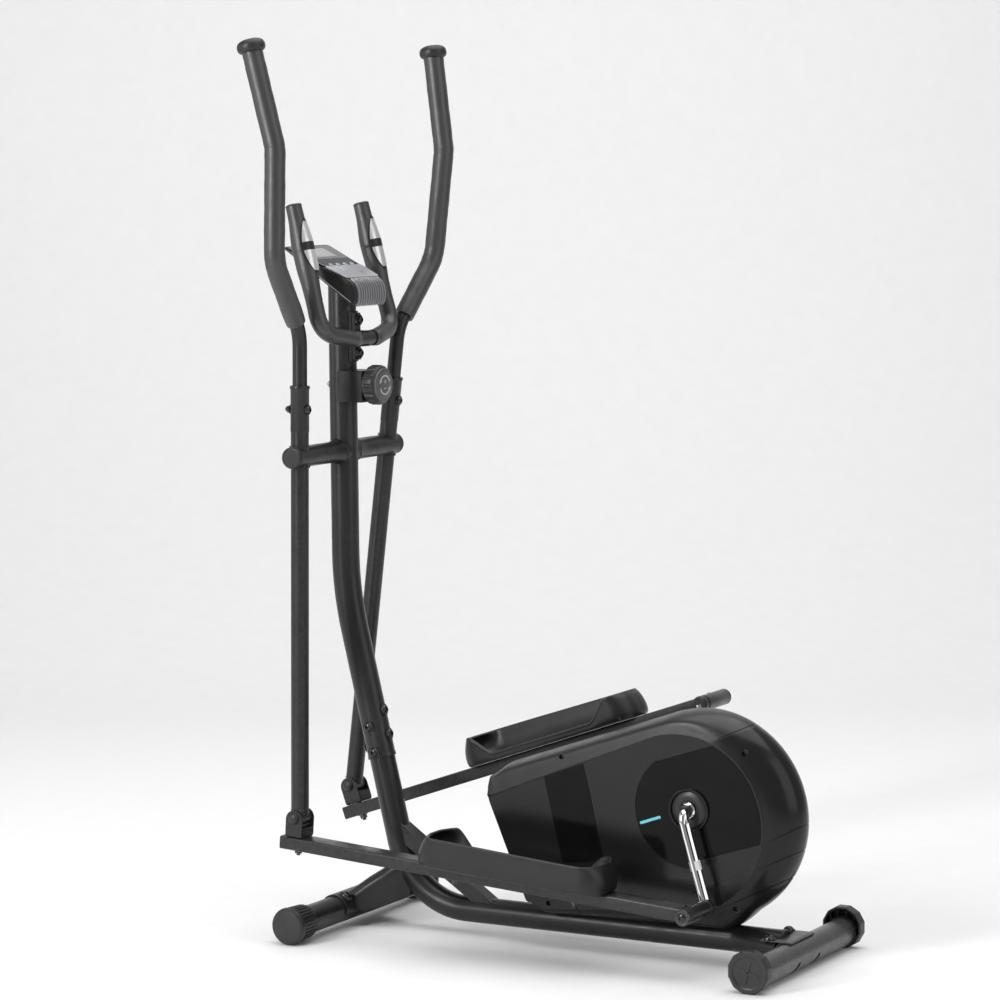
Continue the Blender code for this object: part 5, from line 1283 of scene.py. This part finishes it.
def add_console_rear():
    """The silver ledge, the ribbed rear face and the silver line along the sides."""
    x = MX
    face_plate("console_ledge", face_outline(0.0850, 0.1335, 0.0010, 0.007), -0.0006, 0.0016,
               SILVER, 0.0006)
    run = [Vector((x + a, 0.0, z)) for a, z in ((0.0440, 1.1708), (0.0505, 1.1676), (0.0560, 1.1628),
                                                (0.0595, 1.1566), (0.0615, 1.1500), (0.0622, 1.1420),
                                                (0.0618, 1.1340), (0.0598, 1.1272), (0.0560, 1.1238))]
    bm = bmesh.new()
    ribs = 12
    for k in range(ribs):
        y = (k - (ribs - 1) / 2) * 0.0079
        path = [point + Vector((0, y, 0)) for point in run]
        rings = sweep_rings(bm, path, lambda i: [(0.0015, -0.0020), (0.0015, 0.0024), (0.0008, 0.0032),
                                                 (-0.0008, 0.0032), (-0.0015, 0.0024), (-0.0015, -0.0020)])
        loft(bm, rings)
    piece("console_ribs", bm, RIB_GREY, "frame", angle=50)
    bm = bmesh.new()
    for side in (-1, 1):
        rail = [Vector((x + a, side * (console_half(x + a) - 0.0002), z))
                for a, z in ((-0.0560, 1.2125), (0.000, 1.1697), (0.0525, 1.1296))]
        rings = sweep_rings(bm, rail, lambda i: circle(0.0007, 8))
        loft(bm, rings)
    piece("console_side_line", bm, SILVER, "frame")


# --- tension control


def add_tension():
    low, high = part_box("tension_box")
    bm = bmesh.new()
    outline = [(low.x, -0.0285), (low.x + 0.030, -0.0300), (high.x, -0.0270), (high.x, 0.0270),
               (low.x + 0.030, 0.0300), (low.x, 0.0285)]
    prism(bm, outline, low.z, high.z, upright)
    box = object_from("tension_case", bm, GRAINED, 3.0)
    bm = bmesh.new()
    rod(bm, (MX, 0, low.z - 0.02), (MX, 0, high.z + 0.02), MAST_RADIUS + 0.0003, None, 48)
    carve(box, [object_from("mast_cutter", bm, PAINT)])
    box.data.set_sharp_from_angle(angle=math.radians(4))
    soft = box.modifiers.new("soft_edges", "BEVEL")
    soft.width = 0.0016
    soft.segments = 3
    soft.limit_method = "ANGLE"
    soft.angle_limit = math.radians(40)
    settle(box, "frame", ["tension_box"])
    bm = bmesh.new()
    matrix = place((MX - 0.0235, -0.010, KNOB.z), (-1, -0.35, 0))
    button_head(bm, matrix, 0.0050, 0.0035)
    piece("tension_box_screw", bm, STEEL, "frame")
    knob_low, knob_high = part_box("tension_knob")
    add_knob(knob_low.x, knob_high.x)


def add_knob(start, end):
    """The grooved knob: flange, notched rim, domed face with a raised ring and plain arrows."""
    matrix = place((start, 0.0, KNOB.z), (1, 0, 0))
    depth = end - start
    bm = bmesh.new()
    teeth = 14
    sides = teeth * 12
    stations = [(0.0275, 0.0000, 0.0), (0.0300, 0.0006, 0.0), (0.0300, 0.0040, 0.0), (0.0335, 0.0046, 0.0),
                (0.0352, 0.0056, 0.6), (0.0358, 0.0075, 1.0), (0.0358, 0.0200, 1.0), (0.0355, 0.0225, 0.9),
                (0.0346, 0.0245, 0.3), (0.0330, 0.0262, 0.0), (0.0300, 0.0280, 0.0)]
    rings = []
    for radius, height, notch in stations:
        ring = []
        for k in range(sides):
            angle = 2 * math.pi * k / sides
            wave = math.cos(teeth * angle)
            cut_in = 0.0030 * notch * ease(wave, 0.35, 0.75)
            reach = radius - cut_in
            spot = Vector((reach * math.cos(angle), reach * math.sin(angle), height))
            ring.append(bm.verts.new(matrix @ spot))
        rings.append(ring)
    loft(bm, rings)
    piece("knob_rim", bm, RUBBER, "knob", ["tension_knob"], angle=28)
    bm = bmesh.new()
    lathe(bm, [(0.0, depth - 0.0006), (0.0120, depth - 0.0008), (0.0235, depth - 0.0018),
               (0.0262, depth - 0.0030), (0.0268, depth - 0.0022), (0.0292, depth - 0.0026),
               (0.0302, depth - 0.0044), (0.0302, 0.0240), (0.0, 0.0240)], matrix, 64)
    piece("knob_face", bm, KNOB_GREY, "knob", angle=30)
    bm = bmesh.new()
    for first in (20, 200):
        ring = arc((0, 0), 0.0178, first, first + 130, 20) + arc((0, 0), 0.0152, first + 130, first, 20)
        prism(bm, ring, depth - 0.0016, depth - 0.0007, lambda a, b, h: matrix @ Vector((a, b, h)))
        tip = math.radians(first + 130)
        heading = Vector((-math.sin(tip), math.cos(tip)))
        out = Vector((math.cos(tip), math.sin(tip)))
        head = [out * 0.0205, out * 0.0125, out * 0.0165 + heading * 0.0062]
        prism(bm, [(p.x, p.y) for p in head], depth - 0.0016, depth - 0.0007,
              lambda a, b, h: matrix @ Vector((a, b, h)))
    for centre_b, bars in ((0.0062, ((0.0036, 0.0008), (0.0008, 0.0036))), (-0.0062, ((0.0036, 0.0008),))):
        for half_a, half_b in bars:
            block(bm, (-half_a, centre_b - half_b, depth - 0.0010),
                  (half_a, centre_b + half_b, depth - 0.0002), matrix)
    piece("knob_marks", bm, PRINT, "knob")


# --- crank housing

HOUSING_HALF = 0.056
REAR_CENTRE = Vector((MX + 0.726, 0.253))
REAR_RADIUS = 0.185
SLOPE = math.radians(21.5)
UP_SLOPE = Vector((-math.sin(SLOPE), math.cos(SLOPE)))
CREASE_CENTRE = Vector((MX + 0.6998, 0.2448))
CREASE_RADIUS = 0.155
CREASE_POINT = CREASE_CENTRE + UP_SLOPE * CREASE_RADIUS
CHORD_POINT = Vector((MX + 0.654, 0.349))
CHORD_UP = Vector((-0.362, 0.932)).normalized()
DISC_RADIUS = 0.103


def rounded_corner(before, corner, after, radius, steps):
    path = rounded_path([(before[0], 0, before[1]), (corner[0], 0, corner[1]), (after[0], 0, after[1])],
                        radius, steps)[1:-1]
    return [(point.x, point.z) for point in path]


def housing_outline():
    """Side outline of the housing, with its corners rounded, in XZ."""
    x = MX
    low = [tuple(REAR_CENTRE + Vector((math.cos(a), math.sin(a))) * reach)
           for a, reach in ((math.radians(-70), 0.1950), (math.radians(-66), 0.1915),
                            (math.radians(-62), 0.1880))]
    rear = low + arc(REAR_CENTRE, REAR_RADIUS, -58, 90 + math.degrees(SLOPE), 72)
    corners = [((x + 0.395, 0.072), 0.030), ((x + 0.430, 0.058), 0.040), ((x + 0.772, 0.058), 0.012)]
    fronts = [((x + 0.345, 0.3185), 0.040), ((x + 0.322, 0.3000), 0.018), ((x + 0.3130, 0.2670), 0.060)]
    chain = [fronts[-1][0], *[c for c, _ in corners], rear[0]]
    outline = []
    for k, (corner, radius) in enumerate(corners):
        outline += rounded_corner(chain[k], corner, chain[k + 2], radius, 5)
    outline += rear
    chain = [rear[-1], *[c for c, _ in fronts], corners[0][0]]
    span = Vector(fronts[0][0]) - Vector(rear[-1])
    outline += [tuple(Vector(rear[-1]) + span * share) for share in (0.12, 0.3, 0.5, 0.7, 0.85)]
    for k, (corner, radius) in enumerate(fronts):
        outline += rounded_corner(chain[k], corner, chain[k + 2], radius, 5)
    return outline


def inward_normals(outline):
    """Unit vectors that point into the outline, each the mean of its two edges."""
    found = []
    for k, here in enumerate(outline):
        first = (here - outline[k - 1]).normalized()
        second = (outline[(k + 1) % len(outline)] - here).normalized()
        found.append(Vector((-(first.y + second.y), first.x + second.x)).normalized())
    return found


def crease_of(point):
    """The crease point that belongs to a point of the rim, and how strong the crease is there."""
    spoke = point - CREASE_CENTRE
    angle = math.degrees(math.atan2(spoke.y, spoke.x))
    if point.x < CREASE_POINT.x and point.y > 0.2:
        drop = (point - CREASE_POINT).dot(UP_SLOPE)
        return point - UP_SLOPE * max(drop, 0.0), ease(drop, 0.002, 0.014)
    if angle < -100 or angle > 130:
        return point, 0.0
    return CREASE_CENTRE + spoke.normalized() * CREASE_RADIUS, ease(angle, -100, -74)


def dome_weight(point):
    """1 where the rim falls away as a dome, 0 where it is a tight round edge."""
    spoke = point - CREASE_CENTRE
    angle = math.degrees(math.atan2(spoke.y, spoke.x))
    if spoke.x < 0 and spoke.y < 0:
        return 0.0
    return min(1 - ease(angle, 52, 108), ease(angle, -92, -68))


def quarter(depth, inset, last, steps=18):
    """Part of an elliptical quarter as (distance from the middle plane, inset) pairs."""
    angles = [math.radians(last) * step / steps for step in range(steps + 1)]
    flat = 1 - math.cos(angles[-1])
    return [(depth * math.sin(a) / math.sin(angles[-1]), inset * (1 - math.cos(a)) / flat) for a in angles]


EDGE_PROFILE = quarter(0.0532, 0.0150, 85.5)
DOME_PROFILE = quarter(0.0543, 0.85, 78.0)


def housing_rings(side, shrink=0.0):
    """Rings from the middle plane over the rim and up to the flat side face."""
    outline = [Vector(point) for point in housing_outline()]
    normals = inward_normals(outline)
    columns = []
    for point, normal in zip(outline, normals):
        crease, strength = crease_of(point)
        dome = dome_weight(point)
        tight = 1 - 0.72 * ease(normal.x, 0.55, 0.85) - 0.4 * ease(normal.y, 0.7, 0.95)
        column = []
        for (edge_y, inset), (dome_y, share) in zip(EDGE_PROFILE, DOME_PROFILE):
            flat = point + normal * inset * tight
            spot = flat.lerp(point.lerp(crease, share), dome) + normal * shrink
            depth = edge_y + (dome_y - edge_y) * dome
            column.append((spot, max(depth - shrink, 0.0003)))
        edge, edge_y = column[-1]
        face_y = HOUSING_HALF - shrink
        target = (edge + normal * 0.003).lerp(crease, strength)
        for share, rise in ((0.30, 0.0019), (0.93, 0.0002), (1.0, 0.0)):
            level = face_y - rise * (0.45 + 0.55 * strength) * (1 - dome * (share < 0.9) * 0.35)
            column.append((edge.lerp(target, share), max(level, edge_y)))
        column.append((target + (Vector((MX + 0.62, 0.24)) - target).normalized() * 0.0015, face_y))
        columns.append(column)
    return [[Vector((p.x, side * depth, p.y)) for p, depth in ring] for ring in zip(*columns)]


def housing_surface(name, side, shrink=0.0, closed=False):
    bm = bmesh.new()
    rings = [[bm.verts.new(point) for point in ring] for ring in housing_rings(side, shrink)]
    loft(bm, rings, close=False)
    bm.faces.new(rings[-1])
    if closed:
        bm.faces.new(list(reversed(rings[0])))
    bmesh.ops.remove_doubles(bm, verts=bm.verts, dist=1e-6)
    bmesh.ops.dissolve_degenerate(bm, edges=bm.edges, dist=1e-6)
    if not closed:
        for point, up in ((CREASE_POINT, UP_SLOPE), (CHORD_POINT, CHORD_UP)):
            around = [f for f in bm.faces if len(f.verts) < 6]
            parts = {item for f in around for item in (*f.verts, *f.edges, f)}
            bmesh.ops.bisect_plane(bm, geom=list(parts), dist=1e-5, plane_co=(point.x, 0, point.y),
                                   plane_no=(up.x, 0, up.y))
    obj = object_from(name, bm, SHELL_MATTE, 30.0)
    if not closed:
        outward = max(obj.data.polygons, key=lambda p: p.area)
        if outward.normal.y * side < 0:
            obj.data.flip_normals()
    return obj


def strip_cutter(name, points, width, side):
    """A thin upright slab along a polyline in XZ, as deep as SEAM_REACH in Y."""
    bm = bmesh.new()
    line = [Vector((MX + a / 1000, b / 1000)) for a, b in points]
    left, right = [], []
    for k, here in enumerate(line):
        before = line[max(k - 1, 0)]
        after = line[min(k + 1, len(line) - 1)]
        run = (after - before).normalized()
        normal = Vector((-run.y, run.x)) * width / 2
        left.append(here + normal)
        right.append(here - normal)
    loop = [(p.x, p.y) for p in left + right[::-1]]
    low, high = sorted((side * SEAM_REACH[0], side * SEAM_REACH[1]))
    prism(bm, loop, low, high, across_y)
    return object_from(name, bm, SHELL_MATTE)


def hole_cutter(name, x, z, radius, side):
    bm = bmesh.new()
    low, high = sorted((side * 0.030, side * 0.075))
    prism(bm, arc((MX + x / 1000, z / 1000), radius, 0, 350, 35), low, high, across_y)
    return object_from(name, bm, SHELL_MATTE)


def disc_edge():
    """The left half of the round panel's edge, as points in millimetres from the mast."""
    centre = ((CRANK.x - MX) * 1000, CRANK.z * 1000)
    return arc(centre, DISC_RADIUS * 1000, 129, 272, 40)


SEAMS = [
    [(654, 349), (700, 367), (760, 390), (816, 418), (852, 436)],
    disc_edge(),
    [(721, 168), (737, 184), (850, 220), (900, 246), (940, 267)],
    [(660, 109), (675, 114), (829, 170), (893, 201), (935, 221)],
    [(630, 48), (650, 55), (793, 113), (866, 149), (905, 168)],
    [(476, 130), (562, 132)],
    [(486, 108), (494, 84), (512, 52)],
]
SCREW_HOLES = [(819, 374, 0.0052), (469, 343, 0.0050), (442, 82, 0.0050), (801, 104, 0.0050)]
SEAM_WIDTH = 0.0013
SEAM_DEPTH = 0.0012
SEAM_REACH = (0.002, 0.075)


def add_housing(side_name, side):
    shell = housing_surface(f"{side_name}_housing", side)
    paint_shell(shell)
    wall = shell.modifiers.new("wall", "SOLIDIFY")
    wall.thickness = SHELL_WALL
    wall.offset = -1.0
    wall.use_even_offset = False
    cutters = []
    for k, seam in enumerate(SEAMS):
        slab = strip_cutter(f"seam_{k}", seam, SEAM_WIDTH, side)
        core = housing_surface("seam_core", side, SEAM_DEPTH, closed=True)
        carve(slab, [core])
        cutters.append(slab)
    for k, (x, z, radius) in enumerate(SCREW_HOLES):
        cutters.append(hole_cutter(f"screw_hole_{k}", x, z, radius, side))
    cutters.append(hole_cutter("hub_hole", (CRANK.x - MX) * 1000, CRANK.z * 1000, 0.026, side))
    bm = bmesh.new()
    beam = [Vector((MX + 0.30, 0, FRAME_Z)), Vector((MX + 0.90, 0, FRAME_Z))]
    tube(bm, beam, FRAME_RADIUS + 0.0005, None, 32)
    cutters.append(object_from("beam_cutter", bm, SHELL_MATTE))
    carve(shell, cutters)
    settle(shell, "frame", [f"housing_{side_name}"])
    add_housing_trim(side_name, side)


def paint_shell(shell):
    """Satin on the band above the crease, gloss on the side face, the front and the lower rim."""
    mesh = shell.data
    mesh.materials.append(SHELL_GLOSS)
    for face in mesh.polygons:
        centre = Vector((face.center.x, face.center.z))
        if centre.x < CREASE_POINT.x:
            band = (centre - CREASE_POINT).dot(UP_SLOPE) > 0
        else:
            outside = (centre - CREASE_CENTRE).length > CREASE_RADIUS - 0.0012
            band = outside and (centre - CHORD_POINT).dot(CHORD_UP) > 0
        face.material_index = 0 if band and len(face.vertices) < 12 else 1


def crease_line():
    """The rounded edge between the band and the side face, from the front to the lower rear."""
    start = CREASE_POINT - Vector((math.cos(SLOPE), math.sin(SLOPE))) * 0.300
    run = [start.lerp(CREASE_POINT, k / 14) for k in range(14)]
    run += [Vector(point) for point in arc(CREASE_CENTRE, CREASE_RADIUS, 90 + math.degrees(SLOPE), -62, 60)]
    return [(point.x - MX, point.y, 0.0003) for point in run]


def add_housing_trim(side_name, side):
    """Screws in their holes, the glossy stripe and disc, the accent bar and the hub ring."""
    out = Vector((0, side, 0))
    bm = bmesh.new()
    points = [point for ring in housing_rings(side) for point in ring]
    for x, z, radius in SCREW_HOLES:
        place_xz = Vector((MX + x / 1000, z / 1000))
        nearest = min(points, key=lambda point: (Vector((point.x, point.z)) - place_xz).length)
        seat = Vector((place_xz.x, side * (abs(nearest.y) - 0.0070), place_xz.y))
        button_head(bm, place(seat, out), 0.0036, 0.0026)
        tube(bm, [seat - out * 0.003, seat + out * 0.0002], radius + 0.0012, None, 24)
        tube(bm, [seat, seat + out * 0.0048], radius + 0.0012, radius - 0.0002, 24)
    piece(f"{side_name}_housing_screws", bm, RUBBER, "frame")
    face = side * (HOUSING_HALF + 0.0001)

    def inlay(name, outline):
        bm = bmesh.new()
        low, high = sorted((face - side * 0.0010, face + side * 0.0008))
        prism(bm, outline, low, high, across_y)
        piece(name, bm, PIANO, "frame", bevel=0.0005)

    line = [Vector((MX + a, face - side * drop, b)) for a, b, drop in crease_line()]
    bm = bmesh.new()
    tube(bm, line, 0.0009, None, 8)
    piece(f"{side_name}_crease_bead", bm, SHELL_MATTE, "frame")
    edge_margin = 0.7
    left = [(434.6, 306), (452, 231), (471, 156)]
    right = [(553.2, 167), (544, 203), (525, 290), (513, 335)]
    stripe = [(x + edge_margin, z) for x, z in left] + [(x - edge_margin, z) for x, z in right]
    inlay(f"{side_name}_stripe", [(MX + x / 1000, z / 1000) for x, z in stripe])
    centre = (CRANK.x, CRANK.z)
    ring = arc(centre, DISC_RADIUS - 0.0008, 130, 272, 48)
    lower = [(MX + 0.7370, 0.1850), (MX + 0.8480, 0.2205)]
    crease = arc(CREASE_CENTRE, CREASE_RADIUS - 0.0030, -8.5, 66.5, 30)
    inlay(f"{side_name}_disc", ring + lower + crease)
    bar = [(624, 237.6), (663.6, 251.6), (662.2, 256.2), (622.6, 242.2)]
    accent = []
    for k in range(4):
        here, before, after = bar[k], bar[k - 1], bar[(k + 1) % 4]
        accent += rounded_corner(before, here, after, 2.0, 4)
    bm = bmesh.new()
    low, high = sorted((side * (HOUSING_HALF + 0.0004), side * (HOUSING_HALF + 0.0011)))
    prism(bm, [(MX + x / 1000, z / 1000) for x, z in accent], low, high, across_y)
    piece(f"{side_name}_accent", bm, CYAN, "frame")
    add_hub_ring(side_name, side)


def add_hub_ring(side_name, side):
    """The stepped ring and dished disc round the axle."""
    node = f"hub_cover_{side_name}"
    base = Vector((CRANK.x, side * (HOUSING_HALF + 0.0002), CRANK.z))
    matrix = place(base, (0, side, 0))
    bm = bmesh.new()
    ring_lathe(bm, [(0.0330, 0.0), (0.0330, 0.0046), (0.0342, 0.0058), (0.0360, 0.0060), (0.0374, 0.0050),
                    (0.0378, 0.0034), (0.0378, 0.0)], matrix, 72)
    piece(f"{side_name}_hub_ring", bm, SHELL_GLOSS, "frame", [node], angle=30)
    bm = bmesh.new()
    ring_lathe(bm, [(0.0150, 0.0010), (0.0150, 0.0040), (0.0165, 0.0048), (0.0230, 0.0046),
                    (0.0300, 0.0036), (0.0322, 0.0022), (0.0326, 0.0), (0.0200, 0.0)], matrix, 72)
    piece(f"{side_name}_hub_disc", bm, SHELL_MATTE, "frame", angle=30)


# --- crank


def add_crank():
    """The one-piece plated crank: axle, two bent arms with a flat on each, and the eyes, which get black
    paint as a painted reflection of the dark housing and trays in their plated ends.
    """
    bm = bmesh.new()
    eyes = bmesh.new()
    tube(bm, [CRANK + Vector((0, -0.0700, 0)), CRANK + Vector((0, 0.0700, 0))], 0.0095, None, 32)
    for side_name, side in SIDES.items():
        pin = middle(f"{side_name}_pin_bolt")
        reach = Vector((pin.x - CRANK.x, 0.0, pin.z - CRANK.z))
        out = Vector((0, side, 0))
        base = CRANK + out * 0.0640
        bend = CRANK + out * CRANK_ARM_Y
        path = rounded_path([base, bend, CRANK + out * CRANK_ARM_Y + reach], 0.016, 10)
        path = resample(path, 0.008)
        total = len(path) - 1

        def section(i):
            share = i / total
            flat = ease(share, 0.25, 0.45)
            width = 0.0086 + 0.0014 * flat
            thick = 0.0086 - 0.0020 * flat
            ring = []
            for a, b in circle(1.0, 28):
                groove = 0.0016 * flat * max(0.0, 1 - (b / 0.45) ** 2) if abs(a) > 0.6 else 0.0
                ring.append((a * thick - math.copysign(groove, a), b * width))
            return ring

        rings = sweep_rings(bm, path, section)
        loft(bm, rings)
        # Painted reflection: the plated eye gets black paint for the dark housing and trays it mirrors; the
        # hub nut in the same mesh is dark in its own right.
        eye = place(CRANK + reach + out * 0.0785, out)
        lathe(eyes, [(0.0, 0.0010), (0.0118, 0.0010), (0.0138, 0.0030), (0.0144, 0.0080), (0.0138, 0.0138),
                     (0.0118, 0.0158), (0.0, 0.0158)], eye, 48)
        nut = place(CRANK + out * 0.0652, out)
        lathe(eyes, [(0.0, 0.0), (0.0122, 0.0), (0.0122, 0.0052), (0.0112, 0.0062), (0.0, 0.0062)], nut, 6)
        collar = place(CRANK + out * 0.0575, out)
        lathe(bm, [(0.0, 0.0), (0.0135, 0.0), (0.0140, 0.0010), (0.0140, 0.0060), (0.0115, 0.0085),
                   (0.0, 0.0085)], collar, 40)
    piece("crank_plated", bm, CHROME, "crank_assembly", ["crank"], angle=30)
    # Black paint on the eyes is a painted reflection; on the hub nuts it is their own dark colour.
    piece("crank_eyes_painted_reflection", eyes, PAINT, "crank_assembly", angle=30)
    bm = bmesh.new()
    pin = middle("left_pin_bolt")
    reach = Vector((pin.x - CRANK.x, 0.0, pin.z - CRANK.z))
    direction = reach.normalized()
    band_at = CRANK + Vector((0, -CRANK_ARM_Y, 0)) + reach * 0.56
    band = [band_at - direction * 0.008, band_at + direction * 0.008]
    rings = sweep_rings(bm, band, lambda i: [(a * 0.0074, b * 0.0104) for a, b in circle(1.0, 28)])
    loft(bm, rings)
    piece("crank_band", bm, WHITE, "crank_assembly", angle=50)


# --- inner nodes that stay


def dress_inner_nodes():
    looks = {"flywheel": IRON, "flywheel_axle": STEEL, "drive_pulley": GRAINED, "drive_belt": RUBBER,
             "brake_bracket": STEEL, "crank_bearing_left": STEEL, "crank_bearing_right": STEEL,
             "pivot_axle": STEEL, "left_pivot_bushing": GRAINED, "right_pivot_bushing": GRAINED}
    for node, mat in looks.items():
        obj = frame["nodes"][node]
        obj.data.materials.clear()
        obj.data.materials.append(mat)


# --- assembly

add_camera()
add_stage()
add_frame()
add_neck()
add_rear_saddle()
add_mast()
add_feet()
for side_name, side in SIDES.items():
    add_arm(side_name, side)
    add_bar(side_name, side)
    add_housing(side_name, side)
add_handlebar()
add_console()
add_tension()
add_crank()
dress_inner_nodes()
